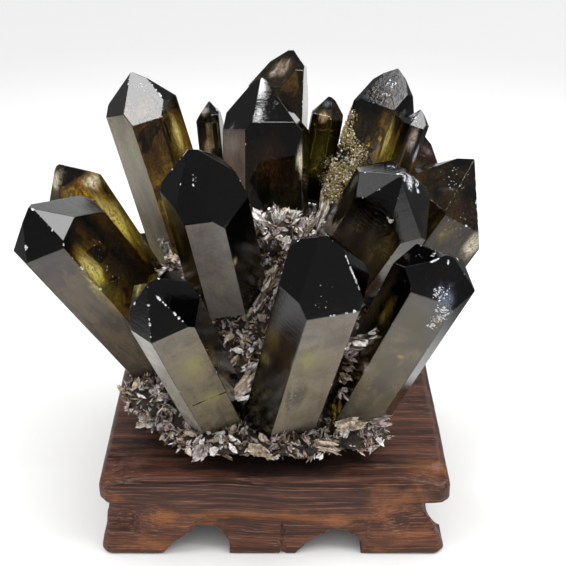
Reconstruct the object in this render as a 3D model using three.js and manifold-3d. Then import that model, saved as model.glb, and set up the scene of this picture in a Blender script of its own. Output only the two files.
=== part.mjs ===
// A morion quartz cluster on a carved wooden stand.
// Millimetres, +Z up, front towards -Y. The origin is on the ground, under the middle of
// the whole. The stand is one carved piece. The cluster is a lump of flaky matrix with
// separate quartz crystals set in it; two that grew into each other are one solid.
import * as THREE from 'three';
import { mergeVertices } from 'three/addons/utils/BufferGeometryUtils.js';
import Module from 'manifold-3d';

const wasm = await Module();
wasm.setup();

// The stand.
const STAND_HEIGHT = 31.5;
const TOP_HALF_WIDTH = 58.5;
const TOP_HALF_DEPTH = 48;
const BAND_HALF_WIDTH = 60.6;
const BAND_HALF_DEPTH = 50.2;
const BAND_TOP = 29;
const EAR_RIGHT_BOTTOM = 20.3;
const EAR_LEFT_BOTTOM = 21.6;
// how far the corners are scooped out under the band, at the left, the right and the front
const WAIST_LEFT = 4.6;
const WAIST_RIGHT = 10;
const WAIST_FRONT = 3.2;
// the front and back corners stand this far proud of the scooped sides
const CORNER_LIP = 1.6;
// the left feet stand out a little further than the right ones
const FOOT_LEFT = 61;
const FOOT_RIGHT = 59.8;
const FOOT_HALF_DEPTH = 51.2;
const HOLLOW_HALF_WIDTH = 50;
const HOLLOW_HALF_DEPTH = 41;
const HOLLOW_HEIGHT = 13;
const ARCHES_FRONT = [
  { left: -39, right: -16, height: 10.2 },
  { left: 7.5, right: 30.2, height: 8.8 },
];
const ARCH_SIDE = { left: -33, right: 35, height: 11 };
const SCOOP_RIGHT = 53.7;
const SCOOP_LEFT = 56.5;
const SCOOP_HALF_LENGTH = 44.5;
const CUSP_RIGHT = 21.6;
const PANEL_LEAN = THREE.MathUtils.degToRad(11);

// The matrix.
const MATRIX_BOTTOM = STAND_HEIGHT;
// the lump slopes back: at each height, its middle (x, y) and its half width and depth
const MATRIX_PROFILE = [
  { height: MATRIX_BOTTOM, x: -5.5, y: 1, width: 35, depth: 33 },
  { height: 34, x: -6, y: 0.5, width: 41, depth: 39.5 },
  { height: 36.5, x: -6, y: 0, width: 44.5, depth: 43 },
  { height: 38.5, x: -6, y: 4.5, width: 45.5, depth: 39.5 },
  { height: 41, x: -6, y: 7, width: 46, depth: 37 },
  { height: 45, x: -6.5, y: 8.5, width: 46, depth: 36 },
  { height: 51, x: -6, y: 10, width: 45.5, depth: 34.5 },
  { height: 58, x: -5, y: 12, width: 44, depth: 34 },
  { height: 66, x: -4, y: 15.5, width: 41.5, depth: 32 },
  { height: 74, x: -3, y: 18, width: 38.5, depth: 30 },
  { height: 82, x: -2, y: 20, width: 34, depth: 28 },
  { height: 89, x: -1, y: 21, width: 28, depth: 25 },
  { height: 95, x: 1, y: 21.5, width: 19, depth: 19.5 },
  { height: 98, x: 2, y: 22, width: 10, depth: 11 },
];
const MATRIX_TOP = 99;
// how square the lump is seen from above: 1 is an ellipse
const MATRIX_SQUARENESS = 0.8;
// smaller mounds on it: their middles and half sizes
const MATRIX_MOUNDS = [
  { middle: [-3, 3, 96], half: [14, 8, 12] },
  { middle: [-33, 8, 76], half: [9, 9, 10] },
  { middle: [12, 14, 92], half: [10, 10, 8] },
  { middle: [-20, -35, 35.4], half: [13, 7, 4.4] },
  { middle: [7, -37, 35.6], half: [15, 6.5, 4.6] },
  { middle: [29, -31, 37], half: [11, 8, 5.4] },
  { middle: [-44, -16, 45], half: [9, 12, 9] },
];
const MATRIX_SEGMENTS = 36;
const MATRIX_ROUGHNESS = 1.9;
const SHARD_COUNT = 84;
const MOUND_SHARDS = 9;
const SOCKET_GAP = 0.3;

// The crystals.
// Quartz: six side faces, and six tip faces that lean this much off the side faces.
const TIP_FACE_LEAN = THREE.MathUtils.degToRad(38.2);

// tip and root are the ends of the axis. turn is how far the first side face is turned
// about it from facing the front, in degrees. sides are the distances of the six side
// faces from the axis. shoulders are how far each tip face stands above (+) or below (-)
// the one that would meet the others at the tip. behind names crystals that grew first:
// where this one would run into them, it stops. twin is a second crystal grown into it.
const CRYSTALS = [
  {
    name: 'crystal_left_large', tip: [-74, -45, 131], root: [-42, -4, 55], turn: 0,
    sides: [11.5, 9.5, 16, 15, 11, 13.5], shoulders: [3, 2, -1, 0, 0, 5],
  },
  {
    name: 'crystal_left_rear', tip: [-76, 14, 121], root: [-50, 14, 74], turn: 7,
    sides: [8, 12, 7.5, 10, 12.5, 9.5], shoulders: [0, 5.5, 0, 0, 2.5, 1.5],
  },
  {
    name: 'crystal_back_left', tip: [-55, 46, 146], root: [-31, 28, 68], turn: 6,
    sides: [14.5, 14.5, 11.5, 13.5, 13, 9.5], shoulders: [-1.5, 4, 0, -2.5, 5, -3],
  },
  {
    name: 'crystal_middle_left', tip: [-25, -28, 138], root: [-17, -6, 81], turn: 0,
    sides: [12.5, 12, 13, 12, 11.5, 11.5], shoulders: [1, -3.5, 4.5, 7.5, 6.5, 4],
  },
  {
    name: 'crystal_back_middle', tip: [-5, 32, 147], root: [-5, 12, 90], turn: 19,
    sides: [13, 16, 15, 14.5, 11.5, 15], shoulders: [0.5, 1.5, 0, 0, 2, 0.5],
    behind: ['crystal_middle_left'],
  },
  {
    name: 'crystal_highest', tip: [7, 60, 149], root: [5, 40, 94], turn: -38,
    sides: [13, 10, 5, 12.5, 12, 16], shoulders: [2, 4.5, 0, -2.5, 0, 6.5],
    behind: ['crystal_back_middle'],
  },
  {
    name: 'crystal_small_back_left', tip: [-26, 60, 128], root: [-22, 47, 88], turn: 24,
    sides: [6, 4.5, 6, 6, 5, 4], shoulders: [3, 2, 0, 0, 0, 1.5],
  },
  {
    name: 'crystal_small_back_right', tip: [20, 50, 134], root: [13, 40, 96], turn: 29,
    sides: [7.5, 6.5, 6.5, 6.5, 5, 5.5], shoulders: [1.5, 2.5, 0, 0, 0, 0],
    behind: ['crystal_highest', 'crystal_back_middle'],
  },
  {
    name: 'crystal_pair_back_right', tip: [45, 40, 149], root: [22, 22, 82], turn: -9,
    sides: [9.5, 7.5, 12, 11.5, 6, 14], shoulders: [-3.5, 0.5, 0, 1, 0, 1],
    twin: {
      tip: [53, 35, 134], root: [40.4, 25, 97.3], turn: 0,
      sides: [5, 4.5, 4, 4, 4.5, 5], shoulders: [0, 1, 0, 0, 0, 0],
    },
    behind: ['crystal_back_middle'],
  },
  {
    name: 'crystal_small_right', tip: [56, 42, 121], root: [42, 25, 85], turn: 10,
    sides: [6, 7.5, 6.5, 6, 5.5, 6], shoulders: [0, 2, 0, 0, 1, 0],
    behind: ['crystal_right_blocky', 'crystal_pair_back_right'],
  },
  {
    name: 'crystal_right_blocky', tip: [70, 12, 124], root: [36, 6, 72], turn: -41,
    sides: [14, 15, 19.5, 14, 13.5, 14.5], shoulders: [-1, -0.5, 0, 0, 0, 2.5],
    behind: ['crystal_middle_right'],
  },
  {
    name: 'crystal_middle_right', tip: [39, -42, 136], root: [25, -6, 90], turn: -28,
    sides: [8, 13.5, 14.5, 15, 15, 11.5], shoulders: [4, 3.5, 2, 5.5, 5.5, 5.5],
  },
  {
    name: 'crystal_front_right', tip: [49.3, -74.6, 127.2], root: [28, -21.9, 41], turn: -7,
    sides: [8.4, 10.8, 11.8, 12.3, 11.8, 9.4], shoulders: [0.5, 1, 2.5, 1, 1, 3.4],
    behind: ['crystal_front_middle'],
  },
  {
    name: 'crystal_front_middle', tip: [20.5, -72.8, 128.2], root: [5.4, -24.4, 40.6], turn: 21,
    sides: [9.2, 9.7, 10.7, 11.7, 15.6, 14.1], shoulders: [-7.8, -4.4, 0, 7.8, 13.6, 2.9],
  },
  {
    name: 'crystal_front_left', tip: [-35, -71.8, 118], root: [-20.7, -21.6, 43.1], turn: 17,
    sides: [10.7, 10.2, 8.8, 12.7, 8.8, 12.2], shoulders: [-0.5, -2.9, 0, 0, 1.5, 1.5],
  },
  // these five stand at the back, where the front view doesn't show them
  {
    name: 'crystal_rear_left', tip: [-64, 61, 72], root: [-32, 20, 48], turn: 12,
    sides: [9.5, 9, 9, 10, 9, 9.5], shoulders: [0, 2, 1, 3, 0, 1],
    behind: ['crystal_back_left', 'crystal_left_rear'],
  },
  {
    name: 'crystal_rear_middle', tip: [-22, 80, 93], root: [-10, 34, 56], turn: -15,
    sides: [11, 10.5, 10, 11, 11.5, 10], shoulders: [1, 0, 4, 2, 0, 0],
    behind: ['crystal_back_left', 'crystal_small_back_left'],
  },
  {
    name: 'crystal_rear_right', tip: [32, 78, 86], root: [14, 32, 54], turn: 20,
    sides: [9.5, 10, 9, 10, 9, 10], shoulders: [0, 0, 2, 4, 1, 0],
    behind: ['crystal_rear_middle', 'crystal_pair_back_right'],
  },
  {
    name: 'crystal_rear_far_right', tip: [72, 50, 82], root: [34, 22, 50], turn: 5,
    sides: [8.5, 9, 8, 8.5, 9, 9], shoulders: [2, 0, 1, 0, 3, 0],
    behind: ['crystal_right_blocky', 'crystal_pair_back_right', 'crystal_small_right'],
  },
  {
    name: 'crystal_rear_low', tip: [2, 70, 60], root: [-2, 36, 45], turn: 30,
    sides: [6, 6.5, 6, 6.5, 6, 6], shoulders: [0, 1, 0, 2, 0, 0],
    behind: ['crystal_rear_middle', 'crystal_rear_right'],
  },
];

let seed = 20;
function random() {
  seed = (seed * 1664525 + 1013904223) % 4294967296;
  return seed / 4294967296;
}

function spread(low, high) {
  return low + (high - low) * random();
}

function welded(geometry) {
  const bare = geometry.clone();
  bare.deleteAttribute('normal');
  bare.deleteAttribute('uv');
  return mergeVertices(bare, 1e-5);
}

function solidOf(geometry) {
  const merged = welded(geometry);
  const vertProperties = new Float32Array(merged.attributes.position.array);
  const triVerts = new Uint32Array(merged.index.array);
  return new wasm.Manifold(new wasm.Mesh({ numProp: 3, vertProperties, triVerts }));
}

function geometryOf(solid) {
  const mesh = solid.getMesh();
  const geometry = new THREE.BufferGeometry();
  const positions = new Float32Array(mesh.vertProperties);
  geometry.setAttribute('position', new THREE.BufferAttribute(positions, 3));
  geometry.setIndex(new THREE.BufferAttribute(new Uint32Array(mesh.triVerts), 1));
  return geometry;
}

function indexed(points, faces) {
  const geometry = new THREE.BufferGeometry();
  geometry.setAttribute('position', new THREE.Float32BufferAttribute(points.flat(), 3));
  geometry.setIndex(faces.flat());
  return geometry;
}

// Keeps the body with the most triangles, so that no loose crumb is left by a cut.
function largestBody(geometry) {
  const index = geometry.index.array;
  const count = geometry.attributes.position.count;
  const parent = Array.from({ length: count }, (_, i) => i);
  const find = (i) => {
    let node = i;
    while (parent[node] !== node) {
      parent[node] = parent[parent[node]];
      node = parent[node];
    }
    return node;
  };
  for (let i = 0; i < index.length; i += 3) {
    parent[find(index[i])] = find(index[i + 1]);
    parent[find(index[i + 1])] = find(index[i + 2]);
  }
  const tally = new Map();
  for (let i = 0; i < index.length; i += 3) {
    const body = find(index[i]);
    tally.set(body, (tally.get(body) ?? 0) + 1);
  }
  const best = [...tally.entries()].sort((a, b) => b[1] - a[1])[0][0];
  const kept = [];
  for (let i = 0; i < index.length; i += 3) {
    if (find(index[i]) === best) kept.push(index[i], index[i + 1], index[i + 2]);
  }
  geometry.setIndex(kept);
  return geometry;
}

// The closed convex solid inside a set of planes, each a normal and a distance.
function convexGeometry(planes) {
  const corners = [];
  const inside = (p) => planes.every((q) => q.normal.dot(p) <= q.distance + 1e-6);
  const cross = new THREE.Vector3();
  for (let i = 0; i < planes.length; i += 1) {
    for (let j = i + 1; j < planes.length; j += 1) {
      for (let k = j + 1; k < planes.length; k += 1) {
        const [a, b, c] = [planes[i], planes[j], planes[k]];
        const det = a.normal.dot(cross.crossVectors(b.normal, c.normal));
        if (Math.abs(det) < 1e-6) continue;
        const p = new THREE.Vector3().crossVectors(b.normal, c.normal).multiplyScalar(a.distance);
        p.addScaledVector(new THREE.Vector3().crossVectors(c.normal, a.normal), b.distance);
        p.addScaledVector(new THREE.Vector3().crossVectors(a.normal, b.normal), c.distance);
        p.divideScalar(det);
        if (!inside(p)) continue;
        const same = corners.find((q) => q.point.distanceTo(p) < 0.08);
        if (same) [i, j, k].forEach((n) => same.on.add(n));
        else corners.push({ point: p, on: new Set([i, j, k]) });
      }
    }
  }
  const faces = [];
  planes.forEach((plane, n) => {
    const ring = corners.map((q, i) => i).filter((i) => corners[i].on.has(n));
    if (ring.length < 3) return;
    const middle = new THREE.Vector3();
    ring.forEach((i) => middle.addScaledVector(corners[i].point, 1 / ring.length));
    const u = new THREE.Vector3().subVectors(corners[ring[0]].point, middle).normalize();
    const v = new THREE.Vector3().crossVectors(plane.normal, u);
    const angle = (i) => {
      const d = new THREE.Vector3().subVectors(corners[i].point, middle);
      return Math.atan2(d.dot(v), d.dot(u));
    };
    ring.sort((a, b) => angle(a) - angle(b));
    for (let i = 1; i + 1 < ring.length; i += 1) faces.push([ring[0], ring[i], ring[i + 1]]);
  });
  return indexed(corners.map((q) => q.point.toArray()), faces);
}

function crystalFrame(spec) {
  const tip = new THREE.Vector3(...spec.tip);
  const root = new THREE.Vector3(...spec.root);
  const axis = new THREE.Vector3().subVectors(tip, root);
  const length = axis.length();
  axis.normalize();
  const first = new THREE.Vector3(0, -1, 0).addScaledVector(axis, axis.y).normalize();
  first.applyAxisAngle(axis, THREE.MathUtils.degToRad(spec.turn));
  const second = new THREE.Vector3().crossVectors(axis, first);
  const turn = new THREE.Matrix4().makeBasis(first, second, axis);
  return { root, length, turn, quaternion: new THREE.Quaternion().setFromRotationMatrix(turn) };
}

// In the crystal's own frame: +Z along the axis from the root, +X out of the first side face.
function crystalPlanes(spec, grow) {
  const frame = crystalFrame(spec);
  const apex = new THREE.Vector3(0, 0, frame.length);
  const planes = [{ normal: new THREE.Vector3(0, 0, -1), distance: grow }];
  for (let k = 0; k < 6; k += 1) {
    const around = THREE.MathUtils.degToRad(60 * k);
    const side = new THREE.Vector3(Math.cos(around), Math.sin(around), 0);
    planes.push({ normal: side, distance: spec.sides[k] + grow });
    const normal = side.clone().multiplyScalar(Math.cos(TIP_FACE_LEAN));
    normal.z = Math.sin(TIP_FACE_LEAN);
    const rise = spec.shoulders[k] * Math.sin(TIP_FACE_LEAN);
    planes.push({ normal, distance: normal.dot(apex) + rise + grow });
  }
  return planes;
}

function crystalSolid(spec, grow = 0) {
  const solid = solidOf(convexGeometry(crystalPlanes(spec, grow)));
  return spec.twin ? solid.add(seenFrom(spec, crystalSolid(spec.twin, grow), spec.twin)) : solid;
}

// The matrix that takes a crystal's own frame to the whole's.
function placing(spec) {
  const frame = crystalFrame(spec);
  const scale = new THREE.Vector3(1, 1, 1);
  return new THREE.Matrix4().compose(frame.root, frame.quaternion, scale);
}

// A solid in the frame of one crystal, taken into the frame of another.
function seenFrom(spec, solid, other) {
  return solid.transform(placing(spec).invert().multiply(placing(other)).toArray());
}

function crystalMesh(spec) {
  let solid = crystalSolid(spec);
  for (const name of spec.behind ?? []) {
    const other = CRYSTALS.find((entry) => entry.name === name);
    solid = solid.subtract(seenFrom(spec, crystalSolid(other, SOCKET_GAP), other));
  }
  const material = new THREE.MeshStandardMaterial({
    color: 0x4a3d20, roughness: 0.06, metalness: 0, transparent: true, opacity: 0.8,
  });
  const mesh = new THREE.Mesh(largestBody(geometryOf(solid)), material);
  mesh.name = spec.name;
  mesh.quaternion.copy(crystalFrame(spec).quaternion);
  mesh.position.copy(crystalFrame(spec).root);
  return mesh;
}

// One level of the stand's outline, from the front left corner round the whole piece. Its
// corners are cut by cornerX and cornerY, and scooped in by the waists beside them.
function standLevel([z, left, right, depth, cornerX, cornerY, waistLeft, waistRight, waistFront]) {
  const points = [];
  const steps = 12;
  const corners = (u) => THREE.MathUtils.smoothstep(Math.abs(u), 0.62, 0.97);
  const along = (u) => 0.42 + 0.58 * THREE.MathUtils.smoothstep(Math.abs(u), 0.05, 0.95);
  const side = (from, to, inward, waist, ease) => {
    for (let i = 0; i <= steps; i += 1) {
      const t = i / steps;
      const inset = waist * ease(2 * t - 1);
      points.push([
        THREE.MathUtils.lerp(from[0], to[0], t) + inward[0] * inset,
        THREE.MathUtils.lerp(from[1], to[1], t) + inward[1] * inset,
        z,
      ]);
    }
  };
  const frontLeft = -left + Math.max(cornerX, waistLeft - CORNER_LIP);
  const frontRight = right - Math.max(cornerX, waistRight - CORNER_LIP);
  side([frontLeft, -depth], [frontRight, -depth], [0, 1], waistFront, corners);
  side([right, -depth + cornerY], [right, depth - cornerY], [-1, 0], waistRight, along);
  side([frontRight, depth], [frontLeft, depth], [0, -1], waistFront, corners);
  side([-left, depth - cornerY], [-left, -depth + cornerY], [1, 0], waistLeft, along);
  return points;
}

function loft(levels) {
  const count = levels[0].length;
  const faces = [];
  for (let row = 0; row + 1 < levels.length; row += 1) {
    for (let i = 0; i < count; i += 1) {
      const next = (i + 1) % count;
      const [a, b] = [row * count + i, row * count + next];
      const [c, d] = [a + count, b + count];
      faces.push([a, b, d], [a, d, c]);
    }
  }
  const flat = (level) => level.map((p) => new THREE.Vector2(p[0], p[1]));
  const bottom = THREE.ShapeUtils.triangulateShape(flat(levels[0]), []);
  const top = THREE.ShapeUtils.triangulateShape(flat(levels.at(-1)), []);
  const start = (levels.length - 1) * count;
  bottom.forEach(([a, b, c]) => faces.push([a, c, b]));
  top.forEach(([a, b, c]) => faces.push([start + a, start + b, start + c]));
  return indexed(levels.flat(), faces);
}

// An arch cut: it rises gently from the left and drops steeply on the right.
function archSolid({ left, right, height }, length) {
  const span = right - left;
  const at = (u, v) => new THREE.Vector2(left + u * span, v * height);
  const curve = new THREE.SplineCurve([
    at(0, 0), at(0.16, 0.42), at(0.36, 0.8), at(0.58, 1),
    at(0.78, 0.97), at(0.93, 0.72), at(1, 0.34), at(0.985, 0),
  ]);
  const shape = new THREE.Shape();
  shape.moveTo(left - 2, -3);
  curve.getSpacedPoints(18).forEach((p) => shape.lineTo(p.x, p.y));
  shape.lineTo(right + 0.5, -3);
  const geometry = new THREE.ExtrudeGeometry(shape, { depth: length, bevelEnabled: false });
  geometry.rotateX(Math.PI / 2);
  return geometry;
}

function standGeometry() {
  const [foot, band] = [FOOT_HALF_DEPTH, BAND_HALF_DEPTH];
  const [ear, top] = [BAND_HALF_WIDTH, TOP_HALF_WIDTH];
  const levels = [
    [0, FOOT_LEFT - 0.5, FOOT_RIGHT - 0.5, foot - 0.5, 3, 3, 0, 0, 0],
    [1.2, FOOT_LEFT, FOOT_RIGHT, foot, 2.6, 2.6, 0, 0, 0],
    [6, FOOT_LEFT - 0.7, FOOT_RIGHT - 0.9, foot - 0.4, 2, 2.6, 0.2, 0.8, 0.7],
    [11, FOOT_LEFT - 1.6, FOOT_RIGHT - 1.7, foot - 0.8, 1.5, 3, 0.6, 3.2, 1.8],
    [13.8, ear - 0.9, ear - 1.2, band, 2.5, 3, 1, 6.2, 2.6],
    [16.6, ear - 0.5, ear - 0.5, band, 2.5, 3, 2, 9.2, WAIST_FRONT],
    [19.6, ear, ear, band, 3, 3, 3.2, WAIST_RIGHT, 2.9],
    [EAR_RIGHT_BOTTOM, ear, ear, band, 3, 3, 4, WAIST_RIGHT, 2.4],
    [EAR_RIGHT_BOTTOM + 0.6, ear, ear, band, 3, 3, WAIST_LEFT, 0.6, 0.6],
    [EAR_LEFT_BOTTOM, ear, ear, band, 3, 3, 0.5, 0, 0.2],
    [22.5, ear, ear, band, 3, 3, 0, 0, 0],
    [27.5, ear, ear, band - 0.2, 3, 3, 0, 0, 0],
    [BAND_TOP, ear - 0.6, ear - 0.6, band - 0.5, 5, 3.6, 0, 0, 0],
    [30.6, top + 0.7, top + 0.2, TOP_HALF_DEPTH + 1, 12, 7, 0, 0, 0],
    [STAND_HEIGHT, top, top - 0.8, TOP_HALF_DEPTH, 16, 9, 0, 0, 0],
  ];
  let solid = solidOf(loft(levels.map(standLevel)));

  const hollow = new THREE.BoxGeometry(2 * HOLLOW_HALF_WIDTH, 2 * HOLLOW_HALF_DEPTH, 2 * HOLLOW_HEIGHT);
  solid = solid.subtract(solidOf(hollow));

  const through = 2 * FOOT_HALF_DEPTH + 20;
  for (const arch of ARCHES_FRONT) {
    const front = archSolid(arch, through / 2);
    solid = solid.subtract(solidOf(front));
    const back = front.clone();
    back.rotateZ(Math.PI);
    solid = solid.subtract(solidOf(back));
  }
  const sideArch = archSolid(ARCH_SIDE, 2 * FOOT_LEFT + 20);
  sideArch.translate(0, FOOT_LEFT + 10, 0);
  sideArch.rotateZ(-Math.PI / 2);
  solid = solid.subtract(solidOf(sideArch));

  // the sides are scooped in between the corner feet, and lean out again to the ground
  for (const { at, turn } of [{ at: SCOOP_RIGHT, turn: 0 }, { at: SCOOP_LEFT, turn: Math.PI }]) {
    const profile = new THREE.Shape();
    profile.moveTo(at, EAR_RIGHT_BOTTOM);
    profile.lineTo(at, 11);
    profile.lineTo(at + 1.4, 6);
    profile.lineTo(at + 5.2, 1);
    profile.lineTo(80, 1);
    profile.lineTo(80, EAR_RIGHT_BOTTOM);
    const scoop = new THREE.ExtrudeGeometry(profile, { depth: 2 * SCOOP_HALF_LENGTH, bevelEnabled: false });
    scoop.rotateX(Math.PI / 2);
    scoop.translate(0, SCOOP_HALF_LENGTH, 0);
    scoop.rotateZ(turn);
    solid = solid.subtract(solidOf(scoop));
  }

  // the carved panel over the middle foot: its bowed upper edge comes down to a cusp at
  // each end, and it leans out until it is flush at the ground
  const panel = new THREE.Shape();
  panel.moveTo(-29, -3);
  panel.lineTo(-29, 11.8);
  panel.quadraticCurveTo(-26.5, 15.4, -21, 15.6);
  panel.lineTo(-5, 15);
  panel.quadraticCurveTo(14, 14.2, CUSP_RIGHT, 11);
  panel.quadraticCurveTo(25, 12.6, 31, 14);
  panel.lineTo(33, 11);
  panel.lineTo(33, -3);
  const recess = new THREE.ExtrudeGeometry(panel, { depth: 12, bevelEnabled: false, curveSegments: 5 });
  recess.rotateX(Math.PI / 2 - PANEL_LEAN);
  recess.translate(0, -FOOT_HALF_DEPTH, 0);
  solid = solid.subtract(solidOf(recess));
  recess.rotateZ(Math.PI);
  solid = solid.subtract(solidOf(recess));
  return geometryOf(solid);
}

// A smooth bump field that is the same for neighbouring points.
function bump(x, y, z) {
  const wave = Math.sin(0.31 * x + 1.3 * Math.sin(0.17 * y + 0.4))
    + Math.sin(0.37 * y - 0.9 * Math.sin(0.21 * z + 1.1))
    + Math.sin(0.43 * z + 1.7 * Math.sin(0.23 * x - 0.6));
  const fine = Math.sin(1.1 * x + 0.7 * z) * Math.sin(0.9 * y - 0.8 * z + 1.0);
  return wave / 3 + 0.5 * fine;
}

// The lump's middle, half width and half depth at a height.
function matrixLevel(height) {
  const next = MATRIX_PROFILE.findIndex((level) => level.height >= height);
  if (next < 1) return MATRIX_PROFILE.at(next);
  const [low, high] = [MATRIX_PROFILE[next - 1], MATRIX_PROFILE[next]];
  const share = (height - low.height) / (high.height - low.height);
  const mix = (key) => THREE.MathUtils.lerp(low[key], high[key], share);
  return { height, x: mix('x'), y: mix('y'), width: mix('width'), depth: mix('depth') };
}

function onMatrix(level, around, inset = 0) {
  const square = (value) => Math.sign(value) * Math.pow(Math.abs(value), MATRIX_SQUARENESS);
  return new THREE.Vector3(
    level.x + (level.width - inset) * square(Math.cos(around)),
    level.y + (level.depth - inset) * square(Math.sin(around)),
    level.height,
  );
}

function lumpGeometry() {
  const points = [];
  const faces = [];
  MATRIX_PROFILE.forEach((level, row) => {
    for (let i = 0; i < MATRIX_SEGMENTS; i += 1) {
      const around = ((i + 0.5 * (row % 2)) / MATRIX_SEGMENTS) * 2 * Math.PI;
      const smooth = onMatrix(level, around);
      const out = MATRIX_ROUGHNESS * bump(smooth.x, smooth.y, smooth.z) + spread(-1.5, 1.5);
      const point = onMatrix(level, around, -out);
      if (row > 0) point.z += spread(-0.9, 0.9);
      points.push(point.toArray());
    }
  });
  for (let row = 0; row + 1 < MATRIX_PROFILE.length; row += 1) {
    for (let i = 0; i < MATRIX_SEGMENTS; i += 1) {
      const next = (i + 1) % MATRIX_SEGMENTS;
      const [a, b] = [row * MATRIX_SEGMENTS + i, row * MATRIX_SEGMENTS + next];
      const [c, d] = [a + MATRIX_SEGMENTS, b + MATRIX_SEGMENTS];
      if (row % 2) faces.push([a, b, d], [a, d, c]);
      else faces.push([a, b, c], [b, d, c]);
    }
  }
  const [base, crown] = [MATRIX_PROFILE[0], MATRIX_PROFILE.at(-1)];
  const bottom = points.push([base.x, base.y, MATRIX_BOTTOM]) - 1;
  const top = points.push([crown.x, crown.y, MATRIX_TOP]) - 1;
  const last = (MATRIX_PROFILE.length - 1) * MATRIX_SEGMENTS;
  for (let i = 0; i < MATRIX_SEGMENTS; i += 1) {
    const next = (i + 1) % MATRIX_SEGMENTS;
    faces.push([bottom, next, i], [top, last + i, last + next]);
  }
  return indexed(points, faces);
}

// A flat blade with a slanted, narrower end. +Z is outwards.
function bladeGeometry(length, width, thickness) {
  const [w, t] = [width / 2, thickness / 2];
  const slant = spread(-0.3, 0.3) * length;
  const points = [
    [-w, -t, 0], [w, -t, 0], [w, t, 0], [-w, t, 0],
    [-w * 0.7, -t * 0.4, length - slant], [w * 0.6, -t * 0.4, length],
    [w * 0.6, t * 0.4, length], [-w * 0.7, t * 0.4, length - slant],
  ];
  const faces = [
    [0, 2, 1], [0, 3, 2], [4, 5, 6], [4, 6, 7], [0, 1, 5], [0, 5, 4],
    [1, 2, 6], [1, 6, 5], [2, 3, 7], [2, 7, 6], [3, 0, 4], [3, 4, 7],
  ];
  return indexed(points, faces);
}

function aim(geometry, outward, spin, at) {
  const quaternion = new THREE.Quaternion().setFromUnitVectors(new THREE.Vector3(0, 0, 1), outward);
  geometry.rotateZ(spin);
  geometry.applyQuaternion(quaternion);
  geometry.translate(at.x, at.y, at.z);
  return geometry;
}

function moundGeometry({ middle, half }) {
  const mound = welded(new THREE.IcosahedronGeometry(1, 2));
  const points = mound.attributes.position;
  for (let i = 0; i < points.count; i += 1) {
    const p = new THREE.Vector3().fromBufferAttribute(points, i);
    p.multiplyScalar(1 + 0.14 * bump(9 * p.x + middle[0], 9 * p.y, 9 * p.z) + spread(-0.17, 0.17));
    points.setXYZ(i, p.x * half[0] + middle[0], p.y * half[1] + middle[1], p.z * half[2] + middle[2]);
  }
  return mound;
}

function matrixGeometry() {
  let solid = solidOf(lumpGeometry());
  const addBlade = (reach, outward, at) => {
    const blade = bladeGeometry(reach, spread(3, 7), spread(1, 2.2));
    solid = solid.add(solidOf(aim(blade, outward.normalize(), spread(0, Math.PI), at)));
  };
  for (let n = 0; n < SHARD_COUNT; n += 1) {
    const around = spread(0, 2 * Math.PI);
    const height = 34 + 60 * Math.pow(random(), 1.2);
    const at = onMatrix(matrixLevel(height), around, 2.5);
    const lift = THREE.MathUtils.mapLinear(height, 34, 92, -0.15, 0.9);
    const outward = new THREE.Vector3(Math.cos(around), Math.sin(around), lift);
    outward.add(new THREE.Vector3(spread(-0.7, 0.7), spread(-0.7, 0.7), spread(-0.2, 0.7)));
    addBlade(height < 44 ? spread(3.5, 5) : spread(5, 9), outward, at);
  }
  for (const mound of MATRIX_MOUNDS) {
    solid = solid.add(solidOf(moundGeometry(mound)));
    for (let n = 0; n < MOUND_SHARDS; n += 1) {
      const around = spread(0, 2 * Math.PI);
      const outward = new THREE.Vector3(Math.cos(around), Math.sin(around), spread(-0.1, 1.6)).normalize();
      const at = new THREE.Vector3(...mound.middle).add(
        outward.clone().multiply(new THREE.Vector3(...mound.half)).multiplyScalar(0.75),
      );
      addBlade(spread(3, 4.6), outward, at);
    }
  }
  for (const spec of CRYSTALS) {
    solid = solid.subtract(crystalSolid(spec, SOCKET_GAP).transform(placing(spec).toArray()));
  }
  const seat = new THREE.BoxGeometry(200, 200, 20);
  seat.translate(0, 0, MATRIX_BOTTOM - 10);
  return largestBody(geometryOf(solid.subtract(solidOf(seat))));
}

const cluster = new THREE.Group();

const stand = new THREE.Mesh(
  standGeometry(),
  new THREE.MeshStandardMaterial({ color: 0x4b2a1f, roughness: 0.5, metalness: 0 }),
);
stand.name = 'wood_stand';
cluster.add(stand);

const matrix = new THREE.Mesh(
  matrixGeometry(),
  new THREE.MeshStandardMaterial({ color: 0x8d7f72, roughness: 0.7, metalness: 0 }),
);
matrix.name = 'matrix';
cluster.add(matrix);

for (const spec of CRYSTALS) cluster.add(crystalMesh(spec));

const extent = new THREE.Box3().setFromObject(cluster, true);
const middle = extent.getCenter(new THREE.Vector3());
cluster.position.set(-middle.x, -middle.y, -extent.min.z);

const whole = new THREE.Group();
whole.add(cluster);

export default whole;
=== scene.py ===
import math
import random

import bmesh
import bpy
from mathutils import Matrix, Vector, noise
from mathutils.bvhtree import BVHTree


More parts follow.
